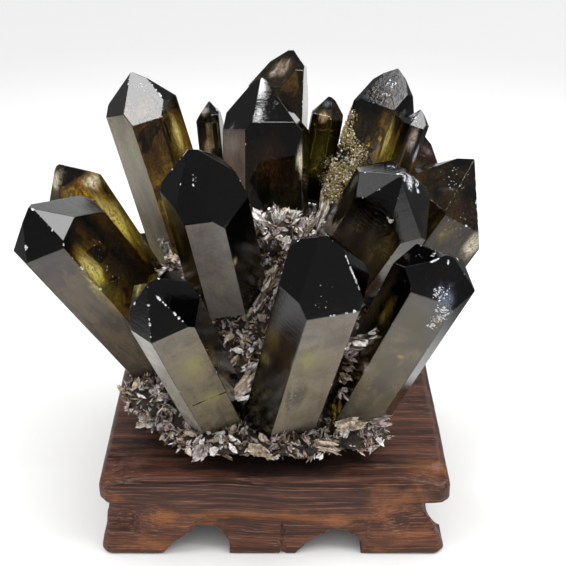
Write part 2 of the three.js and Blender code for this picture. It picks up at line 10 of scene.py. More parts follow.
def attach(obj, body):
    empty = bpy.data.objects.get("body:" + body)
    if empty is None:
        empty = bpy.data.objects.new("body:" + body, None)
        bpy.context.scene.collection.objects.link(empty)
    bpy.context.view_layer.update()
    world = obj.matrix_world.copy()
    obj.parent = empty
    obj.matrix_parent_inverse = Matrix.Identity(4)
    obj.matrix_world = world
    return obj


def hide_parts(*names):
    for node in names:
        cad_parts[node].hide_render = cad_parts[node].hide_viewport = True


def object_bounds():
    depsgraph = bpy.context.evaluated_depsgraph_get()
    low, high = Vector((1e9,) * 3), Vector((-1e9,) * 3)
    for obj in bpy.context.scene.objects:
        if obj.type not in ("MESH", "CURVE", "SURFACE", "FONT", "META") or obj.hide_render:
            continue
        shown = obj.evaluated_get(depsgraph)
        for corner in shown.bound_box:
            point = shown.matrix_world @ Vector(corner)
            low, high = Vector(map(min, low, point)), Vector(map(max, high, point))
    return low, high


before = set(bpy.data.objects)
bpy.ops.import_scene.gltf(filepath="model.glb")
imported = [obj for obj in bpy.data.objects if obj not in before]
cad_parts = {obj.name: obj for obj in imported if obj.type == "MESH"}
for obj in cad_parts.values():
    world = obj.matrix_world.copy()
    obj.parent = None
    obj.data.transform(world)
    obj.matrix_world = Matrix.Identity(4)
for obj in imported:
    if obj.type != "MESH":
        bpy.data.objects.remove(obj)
cad_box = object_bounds()
scene = bpy.context.scene

MM = 0.001
# how far the fine pieces stay inside the box of the CAD
BOX_MARGIN = 0.1 * MM

# How far the whole was moved to put its origin under its middle, in millimetres. Every
# place below is given in millimetres as it was before that move.
SHIFT = Vector((4.249, -1.849, 0))

# Colours of the quartz, as one pass through its skin tints the light.
AMBER = (0.26, 0.17, 0.045)
OLIVE = (0.17, 0.135, 0.05)
BLACK = (0.004, 0.004, 0.005)
BROWN = (0.09, 0.040, 0.018)
RUST = (0.30, 0.12, 0.035)
GOLD = (0.78, 0.52, 0.08)
YELLOW = (0.97, 0.86, 0.14)
CLOUD = (0.62, 0.58, 0.20)
CREAM = (0.90, 0.80, 0.58)
TAUPE = (0.50, 0.42, 0.38)
TAN = (0.75, 0.52, 0.30)
SLATE = (0.16, 0.18, 0.26)
ICE = (0.72, 0.76, 0.86)
NAVY = (0.012, 0.012, 0.022)
SMOKE = (0.24, 0.20, 0.13)
STRAW = (0.85, 0.70, 0.22)
UMBER = (0.20, 0.145, 0.045)
ASH = (0.16, 0.145, 0.145)
DUN = (0.34, 0.27, 0.20)
# The colours of milky quartz, which scatters the light instead of letting it through.
MILKY = (CLOUD, CREAM, TAUPE, TAN, SLATE, ICE, STRAW, UMBER, ASH, DUN)

# The crystals. tip and root are the ends of the axis, dark is how far the smoky black
# reaches down from the tip, fade how far it takes to clear and shaft the colour below, amber
# where none is given. Each patch is a place on the crystal, a radius, a stretch along the axis
# and a colour. dull lists the side faces that look grey and cloudy, as a normal and a colour.
# broken are places full of chips: a place, a radius, how many and their sizes. bruised are
# rows of chips along an edge: two ends and how many. grooves are cracks: two ends and a half
# width. steps is the strength of the growth steps on the faces.
CRYSTALS = {
    "left_large": dict(
        tip=(-74, -45, 131), root=(-42, -4, 55), dark=12, fade=26,
        dull=[((0.17, -0.9, -0.41), (0.08, 0.074, 0.07))],
        bruised=[((-73.3, -46.6, 130.2), (-64.6, -50, 118.7), 8), ((-64.6, -50, 118.7), (-56, -43, 95), 6)],
        broken=[(-57, -38, 112, 6, 12, (0.12, 0.3)), (-54, -33, 100, 6, 14, (0.12, 0.3))],
        patches=[(-52, -30, 106, 6, 1.8, BLACK), (-49, -28, 92, 5, 2, BROWN),
        (-60, -43.8, 112, 3, 1.8, GOLD), (-57.5, -41, 106, 3.8, 2.4, STRAW),
        (-55, -38, 99, 3.6, 2.4, YELLOW), (-52.5, -35, 93, 3.6, 2.2, GOLD), (-67, -45, 104, 4, 2, ASH)]),
    "left_rear": dict(
        tip=(-76, 14, 121), root=(-50, 14, 74), dark=4, fade=12, shaft=GOLD,
        patches=[(-72, 9, 115.5, 4.6, 1.1, NAVY), (-77.6, 12.4, 116.2, 3.8, 1.4, CREAM),
        (-67.6, 8, 114.5, 3.6, 1.4, RUST), (-63.5, 7.2, 117, 3.6, 1.3, CREAM),
        (-70, 8, 109, 4, 1.2, DUN), (-64, 7.2, 112, 2.6, 1.2, BROWN), (-59.5, 8.5, 113, 2.2, 2, NAVY),
        (-57, 7, 103, 4, 3, STRAW), (-53, 8, 96, 4, 2, YELLOW)]),
    "back_left": dict(
        tip=(-55, 46, 146), root=(-31, 28, 68), dark=8, fade=22,
        dull=[((-0.81, -0.57, -0.12), (0.19, 0.165, 0.105))],
        bruised=[((-53, 44, 143.5), (-44, 34, 136), 8)],
        broken=[(-48.5, 39.6, 140.8, 2.4, 16, (0.2, 0.5)), (-49, 33, 136, 3, 10, (0.12, 0.3))],
        patches=[(-50.5, 29.1, 118, 4, 2.5, CLOUD), (-42, 22, 104, 5, 1.8, GOLD),
        (-45, 26, 121, 5, 1.5, BROWN), (-35.5, 32.6, 125, 4.2, 2.6, STRAW),
        (-34, 32, 114, 3.4, 2.4, YELLOW), (-60, 41, 131, 5, 1, BLACK), (-40, 21, 92, 5, 1.6, BROWN),
        (-48.5, 41, 142, 2.6, 1, NAVY), (-47, 28, 96, 4, 2, TAUPE)]),
    "middle_left": dict(
        tip=(-25, -28, 138), root=(-17, -6, 81), dark=32, fade=22, shaft=OLIVE,
        dull=[((0.05, -0.93, -0.35), (0.3, 0.265, 0.24))],
        broken=[(-25.2, -29, 133, 1.6, 8, (0.15, 0.35))],
        patches=[(-12.9, -26.5, 102.2, 1.8, 1.4, TAN), (-32, -22, 108, 3, 2.4, GOLD),
        (-10, -20, 106, 6, 2.5, BLACK)]),
    "back_middle": dict(
        tip=(-5, 32, 147), root=(-5, 12, 90), dark=18, fade=34, shaft=OLIVE, steps=0.02,
        dull=[((-0.66, -0.71, 0.25), (0.135, 0.09, 0.072))],
        patches=[(-1.6, 10.5, 123, 6, 1.8, RUST), (-15, 14, 129, 4, 1.6, TAUPE), (-4, 6, 112, 6, 1.6, BLACK),
        (9, 14, 122, 2, 3, CREAM), (4, 9, 118, 3, 2, BROWN)]),
    "highest": dict(
        tip=(7, 60, 149), root=(5, 40, 94), dark=-4, fade=12,
        bruised=[((7, 60, 149), (9.2, 43.2, 131), 8)],
        patches=[(2.4, 51.6, 144.4, 5, 1, DUN), (-1, 52, 142, 2.4, 1, TAUPE), (6, 45.5, 139, 2.6, 1.4, RUST),
        (11.6, 55, 133, 3, 4, TAUPE), (5, 42, 132, 4, 2, BROWN), (2, 47, 139, 2, 1, TAUPE)]),
    "small_back_left": dict(
        tip=(-26, 60, 128), root=(-22, 47, 88), dark=-2, fade=8, shaft=SMOKE,
        patches=[(-27, 56, 126, 2.2, 1, TAUPE), (-26, 52, 117, 2.6, 1.2, RUST), (-25, 52, 113, 3, 1.5, TAN),
        (-28, 54, 121, 2, 1, BLACK)]),
    "small_back_right": dict(
        tip=(20, 50, 134), root=(13, 40, 96), dark=0, fade=8,
        patches=[(19.7, 47, 132, 2, 1, SLATE), (18.5, 43, 128, 2.4, 1.2, TAN), (22, 45, 130, 3, 1.4, BLACK),
        (16.7, 38, 113, 4, 3, YELLOW), (16, 34, 103, 4, 1.5, OLIVE), (15, 38, 121, 2, 1.4, BLACK)]),
    "pair_back_right": dict(
        tip=(45, 40, 149), root=(22, 22, 82), dark=12, fade=24,
        broken=[(42.2, 35.2, 143.1, 2.2, 16, (0.25, 0.7)), (39.5, 31.5, 140, 1.6, 8, (0.2, 0.5)),
        (50.5, 31, 132, 1.4, 12, (0.3, 0.7))],
        patches=[(39, 26, 125, 3.4, 3.2, STRAW), (42, 25.5, 119, 3.8, 2, YELLOW), (31, 23, 122, 5, 2, OLIVE),
        (45, 31, 133, 4, 2, BLACK), (28, 24, 118, 5, 2.4, OLIVE), (50, 33, 133, 1.8, 1, ICE),
        (49.5, 27.3, 125, 2.4, 2.4, TAUPE), (51, 27, 119, 2, 2, ICE)]),
    "small_right": dict(
        tip=(56, 42, 121), root=(42, 25, 85), dark=3, fade=6, shaft=RUST,
        patches=[(57, 36, 118, 2.8, 1, SLATE), (56.5, 33.5, 114.5, 2.2, 1, RUST),
        (58, 34, 112, 2, 1, RUST)]),
    "right_blocky": dict(
        tip=(70, 12, 124), root=(36, 6, 72), dark=4, fade=16,
        bruised=[((69.5, 9, 119.5), (71, 0, 103.5), 22)],
        broken=[(62.6, 5.2, 118.4, 6, 22, (0.15, 0.4)), (64, -4, 106, 6, 20, (0.12, 0.35)),
        (71, 5, 110, 3, 12, (0.3, 0.8))],
        patches=[(60.4, -5.3, 104, 4.5, 1.4, GOLD), (56, -4, 103, 2.8, 1.2, STRAW),
        (69.2, -1.2, 96.5, 3.2, 2, CREAM), (57, 1, 115.5, 3, 1, BLACK), (64, -3, 110, 5, 1.2, RUST),
        (62.6, 5.2, 118.4, 4, 1, BROWN), (68, 0, 112, 3, 1.6, BROWN), (66, -3, 102, 3, 1.6, BROWN),
        (60, 3, 113, 4, 1, ASH), (67, 4, 115, 2, 1, BLACK), (63, -5, 99, 3, 1, RUST)]),
    "middle_right": dict(
        tip=(39, -42, 136), root=(25, -6, 90), dark=8, fade=18,
        broken=[(39.4, -41, 138.6, 2.2, 24, (0.4, 1.2)), (42, -38.3, 135.3, 3.2, 40, (0.4, 1.2)),
        (45.2, -33, 131.7, 2.4, 24, (0.3, 1)), (35.1, -44.8, 126.1, 0.8, 8, (0.3, 0.6)),
        (37.2, -30, 137, 2.2, 14, (0.2, 0.6))],
        patches=[(31, -27, 102, 4.6, 2.6, GOLD), (26, -27, 108, 4, 2, OLIVE),
        (43.8, -41, 125.5, 6, 1.6, BLACK), (36, -33, 104, 4, 2.2, GOLD), (42, -38, 135.3, 3.4, 1, ICE),
        (34, -37, 111, 6, 2, UMBER), (38, -36, 108, 3, 2, UMBER)]),
    "front_right": dict(
        tip=(49.3, -74.6, 127.2), root=(28, -21.9, 41), dark=26, fade=26, shaft=OLIVE,
        dull=[((-0.24, -0.85, -0.46), (0.106, 0.094, 0.068))],
        bruised=[((46.7, -71.5, 126.4), (45.2, -74.9, 125.8), 6),
        ((45.2, -74.9, 125.8), (50.4, -74.7, 125.7), 8)],
        broken=[(48.5, -76.5, 116, 3, 44, (0.25, 0.7)), (49.2, -75.9, 110.5, 3, 44, (0.25, 0.7)),
        (48.8, -73.2, 106.7, 2.2, 30, (0.3, 0.8)), (47.3, -70.5, 102.5, 1.8, 20, (0.3, 0.8)),
        (46.5, -70, 125.6, 2, 16, (0.3, 0.8)), (44, -68, 120, 5, 12, (0.12, 0.3))],
        patches=[(35, -63, 104, 3, 2.6, GOLD), (33, -60, 99, 2.4, 2, UMBER), (39.7, -59, 85, 1.3, 1, GOLD),
        (42, -68, 103, 4, 1.6, UMBER), (30, -51, 76, 2.6, 1.4, TAUPE), (48.5, -76.2, 113, 5, 1.6, SLATE),
        (24, -38, 56, 5, 2, BLACK), (36.3, -48, 66, 6, 2, ASH), (38, -60, 93, 4, 1.4, OLIVE),
        (33, -58, 94, 3, 2, BLACK)]),
    "front_middle": dict(
        tip=(20.5, -72.8, 128.2), root=(5.4, -24.4, 40.6), dark=33, fade=24, shaft=OLIVE,
        dull=[((0.28, -0.82, -0.5), (0.219, 0.188, 0.148))],
        bruised=[((20.9, -68.1, 124.7), (21.4, -70, 109), 22), ((12, -62, 103.5), (20, -70.5, 103.5), 4)],
        broken=[(12, -70, 113, 6, 12, (0.12, 0.3)), (6, -50, 64, 5, 8, (0.12, 0.3))],
        patches=[(10.5, -60, 87, 6.5, 1.5, CLOUD), (-1, -59, 92, 3.6, 2.4, GOLD), (8, -49, 62, 4, 2.2, ASH),
        (-2.5, -52, 80, 2.6, 2, UMBER), (-2, -50, 72, 6, 2, BLACK), (17, -62, 92, 4, 1.6, TAUPE),
        (0, -60, 100, 3, 1.4, BLACK)]),
    "front_left": dict(
        tip=(-35, -71.8, 118), root=(-20.7, -21.6, 43.1), dark=18, fade=22, shaft=OLIVE,
        dull=[((0.39, -0.8, -0.46), (0.186, 0.156, 0.11)), ((-0.59, -0.61, -0.52), (0.4, 0.38, 0.34))],
        bruised=[((-34, -69, 115.2), (-26.2, -72, 103.4), 16),
        ((-36.7, -72.4, 112.3), (-35.7, -74.4, 99.6), 8)],
        grooves=[((-27, -47.6, 59.6), (-15.4, -44, 63.1), 0.5)],
        patches=[(-25, -60, 82, 6, 1.4, CLOUD), (-39, -67, 113, 2.6, 1.2, CLOUD),
        (-19.5, -55, 82, 3.4, 2.4, UMBER), (-41, -66, 96, 3, 2, TAUPE), (-21, -46, 62, 4, 1.4, CLOUD),
        (-19, -52, 75, 3, 1.6, BLACK)]),
    "rear_left": dict(
        tip=(-64, 61, 72), root=(-32, 20, 48), dark=16, fade=24,
        patches=[(-44, 38, 58, 5, 1.6, GOLD)]),
    "rear_middle": dict(
        tip=(-22, 80, 93), root=(-10, 34, 56), dark=20, fade=24,
        patches=[(-14, 55, 70, 6, 1.6, CLOUD)]),
    "rear_right": dict(
        tip=(32, 78, 86), root=(14, 32, 54), dark=18, fade=24, shaft=OLIVE,
        patches=[(22, 55, 68, 5, 1.6, GOLD)]),
    "rear_far_right": dict(
        tip=(72, 50, 82), root=(34, 22, 50), dark=14, fade=22,
        patches=[(52, 38, 64, 5, 1.6, CLOUD)]),
    "rear_low": dict(
        tip=(2, 70, 60), root=(-2, 36, 45), dark=6, fade=16,
        patches=[(0, 56, 54, 4, 1.4, GOLD)]),
}


def at(x, y, z):
    """A place given in millimetres, in the frame's metres."""
    return (Vector((x, y, z)) + SHIFT) * MM


def scaled(values, share):
    """A colour made darker or lighter, or sizes in another unit."""
    return tuple(value * share for value in values)


def new_object(name, data):
    piece = bpy.data.objects.new(name, data)
    scene.collection.objects.link(piece)
    return piece


def new_piece(name, points, faces):
    mesh = bpy.data.meshes.new(name)
    mesh.from_pydata(points, [], faces)
    mesh.update()
    piece = new_object(name, mesh)
    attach(piece, "root")
    return piece


def evaluated_mesh(piece):
    graph = bpy.context.evaluated_depsgraph_get()
    return bpy.data.meshes.new_from_object(piece.evaluated_get(graph))


def tree_of(*meshes):
    """One search tree over the faces of some meshes."""
    points, polygons = [], []
    for mesh in meshes:
        start = len(points)
        points += [v.co.copy() for v in mesh.vertices]
        polygons += [[start + i for i in p.vertices] for p in mesh.polygons]
    return BVHTree.FromPolygons(points, polygons)


def reshaped(node, voxel, moved, lowest, smoothing=0):
    """The node's mesh, rebuilt from even small faces, its points moved but none below a height."""
    source = new_object("source", node.data.copy())
    even = source.modifiers.new("even", "REMESH")
    even.mode = "VOXEL"
    even.voxel_size = voxel
    if smoothing:
        soft = source.modifiers.new("soft", "SMOOTH")
        soft.factor = 0.5
        soft.iterations = smoothing
    mesh = evaluated_mesh(source)
    bpy.data.objects.remove(source)
    places = [moved(v.co, v.normal) for v in mesh.vertices]
    for v, place in zip(mesh.vertices, places):
        v.co = (place.x, place.y, max(place.z, lowest))
    return mesh


def random_direction(rng):
    return Vector([rng.gauss(0, 1) for _ in range(3)]).normalized()


def inside_box(point):
    low, high = cad_box
    return all(low[k] + BOX_MARGIN < point[k] < high[k] - BOX_MARGIN for k in range(3))


# Materials.
class Nodes:
    """A node tree of a material, or of a world, with short calls to add and join nodes."""

    def __init__(self, name, library=bpy.data.materials):
        self.owner = library.new(name)
        self.owner.use_nodes = True
        self.tree = self.owner.node_tree
        self.shader = self.tree.nodes.get("Principled BSDF") or self.tree.nodes["Background"]

    def put(self, value, socket):
        if hasattr(value, "node"):
            self.tree.links.new(value, socket)
        else:
            socket.default_value = value

    def add(self, kind, inputs=None, **settings):
        node = self.tree.nodes.new(kind)
        for key, value in settings.items():
            setattr(node, key, value)
        for key, value in (inputs or {}).items():
            self.put(value, node.inputs[key])
        return node

    def math(self, operation, a, b=0.0):
        return self.add("ShaderNodeMath", {0: a, 1: b}, operation=operation).outputs[0]

    def plus(self, a, b):
        return self.math("ADD", a, b)

    def times(self, a, b):
        return self.math("MULTIPLY", a, b)

    def vector(self, operation, a, b):
        return self.add("ShaderNodeVectorMath", {0: a, 1: b}, operation=operation).outputs[0]

    def length(self, vector):
        return self.add("ShaderNodeVectorMath", {0: vector}, operation="LENGTH").outputs["Value"]

    def place(self):
        return self.add("ShaderNodeTexCoord").outputs["Object"]

    def split(self, vector):
        return self.add("ShaderNodeSeparateXYZ", {0: vector}).outputs

    def in_frame(self, origin, turn):
        """The place as seen from a turned frame."""
        inputs = {"Vector": self.place(), "Location": tuple(origin), "Rotation": tuple(turn)}
        return self.add("ShaderNodeMapping", inputs, vector_type="TEXTURE").outputs[0]

    def stretched(self, vector, scale):
        return self.vector("MULTIPLY", vector, scale)

    def noise(self, vector, scale, detail, rough, warp=0.0):
        inputs = {"Vector": vector, "Scale": scale, "Detail": detail, "Roughness": rough}
        return self.add("ShaderNodeTexNoise", {**inputs, "Distortion": warp}).outputs["Fac"]

    def between(self, value, low, high, to_low=0.0, to_high=1.0):
        inputs = {"Value": value, "From Min": low, "From Max": high, "To Min": to_low, "To Max": to_high}
        return self.add("ShaderNodeMapRange", inputs, interpolation_type="SMOOTHSTEP").outputs[0]

    def mix(self, share, a, b, blend="MIX"):
        node = self.add("ShaderNodeMix", data_type="RGBA", blend_type=blend)
        self.put(share, node.inputs["Factor"])
        for value, socket in ((a, "A"), (b, "B")):
            self.put(value if hasattr(value, "node") else (*value, 1), node.inputs[socket])
        return node.outputs["Result"]

    def ramp(self, value, stops):
        node = self.add("ShaderNodeValToRGB", {"Fac": value})
        elements = node.color_ramp.elements
        while len(elements) < len(stops):
            elements.new(0.5)
        for element, (where, colour) in zip(elements, stops):
            element.position = where
            element.color = (*colour, 1)
        return node.outputs["Color"]

    def near(self, vector, centre, size, wander, edge=0.15):
        """1 close to a centre and 0 past a size, with a border that wanders."""
        away = self.vector("SUBTRACT", vector, tuple(centre))
        away = self.stretched(away, tuple(1 / s for s in size))
        return self.between(self.plus(self.length(away), wander), edge, 1.0, 1.0, 0.0)

    def bump(self, height, strength, distance):
        inputs = {"Height": height, "Strength": strength, "Distance": distance}
        self.put(self.add("ShaderNodeBump", inputs).outputs[0], self.shader.inputs["Normal"])

    def set(self, **values):
        names = {"colour": "Base Color", "rough": "Roughness", "ior": "IOR",
                 "through": "Transmission Weight", "specular": "Specular IOR Level"}
        for key, value in values.items():
            self.put(value, self.shader.inputs[names[key]])


QUARTZ_IOR = 1.544
# how much of the light passes the skin: the rest scatters
CLEAR_THROUGH = 0.90
MILKY_THROUGH = 0.35
DULL_THROUGH = 0.30
# how much of a dull face has the dull colour, outside and inside its milky patches
DULL_SHARE = 0.74
DULL_SHARE_IN_PATCH = 0.3
# how dark a milky patch is in a dull face
DULL_TINT = 0.42
DULL_ROUGH = 0.24
# the borders of a patch wander inwards, so it is laid out this much wider
PATCH_REACH = 1.3
PATCH_STRENGTH = 0.9
# how far the border between black and clear wanders, widely and in streaks
WIDE_WANDER = 9 * MM
LONG_WANDER = 4 * MM
# the root darkens between these distances from its end
ROOT_DARK = (14 * MM, 2 * MM)
ROOT_SHARE = 0.92
ROOT_COLOUR = (0.02, 0.014, 0.008)
STEP_STRENGTH = 0.18
STEP_HEIGHT = 0.3 * MM
ABSORPTION_COLOUR = (0.84, 0.76, 0.45, 1)
ABSORPTION_DENSITY = 120.0


def quartz(name, spec, dull_colour=None):
    """Smoky quartz: black at the tip, clearing to amber, mottled and streaked along the axis.

    With a dull colour it is for a side face that looks grey and cloudy."""
    n = Nodes(name)
    tip = at(*spec["tip"])
    axis = Vector(spec["tip"]) - Vector(spec["root"])
    turn = axis.to_track_quat("Z", "Y")
    local = n.in_frame(tip, turn.to_euler())
    long_noise = n.noise(n.stretched(local, (1, 1, 0.22)), 230, 6, 0.62, 0.8)
    wide_noise = n.noise(local, 95, 5, 0.6, 0.6)
    speckle = n.noise(n.stretched(local, (1, 1, 0.6)), 1300, 5, 0.75)
    down = n.times(n.split(local)["Z"], -1.0)
    depth = n.plus(down, n.between(wide_noise, 0.25, 0.75, -WIDE_WANDER, WIDE_WANDER))
    depth = n.plus(depth, n.between(long_noise, 0.3, 0.7, -LONG_WANDER, LONG_WANDER))
    dark, fade = spec["dark"] * MM, spec["fade"] * MM
    clear = n.between(depth, dark, dark + fade)
    shaft = spec["shaft"]
    thin = n.mix(n.between(long_noise, 0.36, 0.62), scaled(shaft, 0.22), shaft)
    brown = tuple(c * 0.5 + b * 0.3 for c, b in zip(BROWN, shaft))
    colour = n.mix(n.between(clear, 0.35, 1.0), brown, thin)
    colour = n.mix(n.between(clear, 0.0, 0.45), BLACK, colour)
    wander = n.between(n.plus(long_noise, speckle), 0.6, 1.4, -0.5, 0.5)
    milky = 0.0
    for x, y, z, radius, stretch, tint in spec["patches"]:
        centre = turn.inverted() @ (at(x, y, z) - tip)
        reach = radius * PATCH_REACH * MM
        share = n.near(local, centre, (reach, reach, reach * stretch), wander)
        if tint in MILKY:
            milky = n.math("MAXIMUM", milky, share)
            tint = scaled(tint, DULL_TINT) if dull_colour else tint
        colour = n.mix(n.times(share, PATCH_STRENGTH), colour, tint)
    starts, ends = (axis.length * MM - distance for distance in ROOT_DARK)
    colour = n.mix(n.between(down, starts, ends, 0.0, ROOT_SHARE), colour, ROOT_COLOUR)
    if dull_colour:
        dull = n.mix(n.between(wide_noise, 0.35, 0.65), scaled(dull_colour, 0.8), scaled(dull_colour, 1.12))
        colour = n.mix(n.between(milky, 0, 1, DULL_SHARE, DULL_SHARE_IN_PATCH), colour, dull)
        colour = n.mix(n.between(speckle, 0.36, 0.56, 0.22, 0.0), colour, BROWN)
        colour = n.mix(n.between(speckle, 0.64, 0.72, 0.0, 0.4), colour, DUN)
        n.set(colour=colour, through=DULL_THROUGH, ior=QUARTZ_IOR, rough=DULL_ROUGH)
    else:
        haze = n.noise(local, 300, 5, 0.6)
        colour = n.mix(n.between(speckle, 0.40, 0.58, 0.78, 0.0), colour, BLACK)
        colour = n.mix(n.between(speckle, 0.66, 0.72, 0.0, 0.35), colour, GOLD)
        n.set(colour=colour, through=n.between(milky, 0, 1, CLEAR_THROUGH, MILKY_THROUGH), ior=QUARTZ_IOR)
        n.set(rough=n.between(haze, 0.5, 0.75, 0.015, 0.16))
    steps = n.noise(n.stretched(local, (0.25, 0.25, 1.6)), 520, 5, 0.6)
    fine = n.noise(local, 900, 4, 0.6)
    n.bump(n.plus(steps, n.times(fine, 0.6)), spec["steps"], STEP_HEIGHT)
    absorb = {"Color": ABSORPTION_COLOUR, "Density": ABSORPTION_DENSITY}
    volume = n.add("ShaderNodeVolumeAbsorption", absorb)
    n.put(volume.outputs[0], n.tree.nodes["Material Output"].inputs["Volume"])
    return n.owner


def two_toned(name, scale, low, high, deep, light, **look):
    """A material of a deep and a light colour, mixed by a fine noise."""
    n = Nodes(name)
    share = n.between(n.noise(n.place(), scale, 4, 0.7), low, high)
    n.set(colour=n.mix(share, deep, light), specular=0.7, **look)
    return n.owner


def fracture():
    """The rough, sugary skin of a chip."""
    n = Nodes("quartz_fracture")
    grain = n.noise(n.place(), 1300, 5, 0.7)
    n.set(colour=n.ramp(grain, [(0.32, (0.10, 0.10, 0.11)), (0.55, (0.88, 0.89, 0.93))]))
    n.set(rough=0.18, through=0.35, ior=QUARTZ_IOR)
    n.bump(grain, 0.5, 0.4 * MM)
    return n.owner


# The crystals' shapes: worn edges, chips and the veils that run through the inside.
WELD = 0.002 * MM
EDGE_WEAR = 0.22 * MM
# the first material is clear quartz, the second a chip's skin and the others dull faces
CLEAR_SLOT, CHIP_SLOT, DULL_SLOT = range(3)
DULL_ANGLE = math.radians(12)
# faces that meet at less than the first angle are one face, and at more than the second an edge
FLAT_ANGLE = math.radians(0.6)
SHARP_ANGLE = math.radians(8)
SHORTEST_EDGE = 2 * MM
CHIP_SIZES = (0.3, 1.0)
BIG_CHIP_SIZES = (1.2, 2.0)
BIG_CHIP_SHARE = 0.08
BRUISE_SIZES = (0.15, 0.95)
CHIPS_PER_MM = 0.08
VEILS = 9
# where the veils lie, as shares of the way from the tip to the root
VEIL_SPAN = (0.25, 0.95)
VEIL_OFFSET = 6
VEIL_RADII = (3, 8)
SMALLEST_VEIL = 1.5 * MM
VEIL_RINGS = 4
VEIL_SIDES = 14
VEIL_THICKNESS = 0.10 * MM
VEIL_CLEARANCE = 0.35 * MM


def face_slot(normal, axis, spec):
    """Which material a face gets: dull if it is listed, or a side face that looks down and back."""
    for number, (listed, _) in enumerate(spec["dull"]):
        if normal.angle(Vector(listed)) < DULL_ANGLE:
            return DULL_SLOT + number
    is_side = abs(normal.dot(axis)) < 0.2
    looks_down_and_back = normal.z < -0.3 and normal.y > 0.75
    return DULL_SLOT if is_side and looks_down_and_back else CLEAR_SLOT


def worn(node, axis, spec):
    """The node's mesh with whole flat faces and softened edges, and where those edges stand out."""
    bm = bmesh.new()
    bm.from_mesh(node.data)
    bmesh.ops.remove_doubles(bm, verts=bm.verts, dist=WELD)
    bmesh.ops.dissolve_limit(bm, angle_limit=FLAT_ANGLE, verts=bm.verts, edges=bm.edges)
    for f in bm.faces:
        f.material_index = face_slot(f.normal, axis, spec)
    sharp = [e for e in bm.edges if e.is_manifold and e.calc_face_angle() > SHARP_ANGLE]
    convex = []
    for e in sharp:
        a, b = (v.co.copy() for v in e.verts)
        if e.is_convex and (a - b).length > SHORTEST_EDGE:
            convex.append((a, b, (e.link_faces[0].normal + e.link_faces[1].normal).normalized()))
    bmesh.ops.bevel(bm, geom=sharp, offset=EDGE_WEAR, segments=2, profile=0.6, affect="EDGES",
                    clamp_overlap=True)
    mesh = bpy.data.meshes.new("worn")
    bm.to_mesh(mesh)
    bm.free()
    return mesh, convex


def add_chip(bm, place, size, rng):
    """A rough pebble to cut with."""
    made = bmesh.ops.create_icosphere(bm, subdivisions=1, radius=1.0)["verts"]
    turn = random_direction(rng).to_track_quat("Z", "Y").to_matrix()
    squash = Vector((rng.uniform(0.6, 1), rng.uniform(0.6, 1), rng.uniform(0.45, 0.8)))
    for v in made:
        rough = v.co * (1 + rng.uniform(-0.16, 0.16))
        v.co = place + turn @ (rough * squash) * size
    for f in {f for v in made for f in v.link_faces}:
        f.material_index = CHIP_SLOT


def nearest_edge_point(point, edges):
    """The nearest place on a crystal's sharp edges, and the way out from there."""
    best = None
    for a, b, out in edges:
        along = b - a
        share = max(0.0, min(1.0, (point - a).dot(along) / along.length_squared))
        spot = a + along * share
        distance = (point - spot).length
        if best is None or distance < best[0]:
            best = (distance, spot, out)
    return best[1], best[2]


def add_groove(bm, a, b, width, tree):
    """A thin wedge along a crack line on a face, to cut with."""
    along = (b - a).normalized()
    _, normal, _, _ = tree.find_nearest((a + b) / 2)
    across = along.cross(normal)
    points = []
    for end in (a, b):
        spot = tree.find_nearest(end)[0]
        points += [bm.verts.new(spot + across * width + normal * width),
                   bm.verts.new(spot - across * width + normal * width),
                   bm.verts.new(spot - normal * width * 2)]
    for corners in ((0, 1, 2), (5, 4, 3), (3, 4, 1, 0), (4, 5, 2, 1), (5, 3, 0, 2)):
        bm.faces.new([points[i] for i in corners]).material_index = CLEAR_SLOT


def chip_places(edges, spec, tree, rng):
    """Where the chips go, as a place and a size: worn edges, broken places and bruised edges."""
    tip = at(*spec["tip"])
    reach = (tip - at(*spec["root"])).length
    weights = []
    for a, b, _ in edges:
        far = ((a + b) / 2 - tip).length / reach
        weights.append((a - b).length * max(0.1, 1.2 - far))
    total = sum((a - b).length for a, b, _ in edges) / MM
    for a, b, out in rng.choices(edges, weights=weights, k=int(total * CHIPS_PER_MM)):
        big = rng.random() < BIG_CHIP_SHARE
        size = rng.uniform(*(BIG_CHIP_SIZES if big else CHIP_SIZES)) * MM
        yield a.lerp(b, rng.random()) + out * size * rng.uniform(0.45, 0.75), size
    for x, y, z, radius, count, sizes in spec["broken"]:
        for _ in range(count):
            guess = at(x, y, z) + random_direction(rng) * radius * MM * rng.random() ** 0.5
            spot, normal, _, _ = tree.find_nearest(guess)
            size = rng.uniform(*sizes) * MM
            yield spot + normal * size * rng.uniform(0.25, 0.6), size
    for first, last, count in spec["bruised"]:
        for _ in range(count):
            spot, out = nearest_edge_point(at(*first).lerp(at(*last), rng.random()), edges)
            size = rng.uniform(*BRUISE_SIZES) * MM
            yield spot + out * size * rng.uniform(0.0, 0.4), size


def chipped(name, mesh, edges, spec, tree, rng, materials):
    """Cuts the chips and cracks out of a crystal."""
    cutter = bmesh.new()
    for place, size in chip_places(edges, spec, tree, rng):
        add_chip(cutter, place, size, rng)
    for first, last, width in spec["grooves"]:
        add_groove(cutter, at(*first), at(*last), width * MM, tree)
    cutter_mesh = bpy.data.meshes.new("chips")
    cutter.to_mesh(cutter_mesh)
    cutter.free()
    for material in materials:
        mesh.materials.append(material)
        cutter_mesh.materials.append(material)
    piece = new_object(name, mesh)
    tool = new_object("chips", cutter_mesh)
    cut = piece.modifiers.new("chips", "BOOLEAN")
    cut.operation = "DIFFERENCE"
    cut.solver = "EXACT"
    cut.use_self = True
    cut.object = tool
    result = evaluated_mesh(piece)
    piece.modifiers.clear()
    piece.data = result
    bpy.data.objects.remove(tool)
    return piece


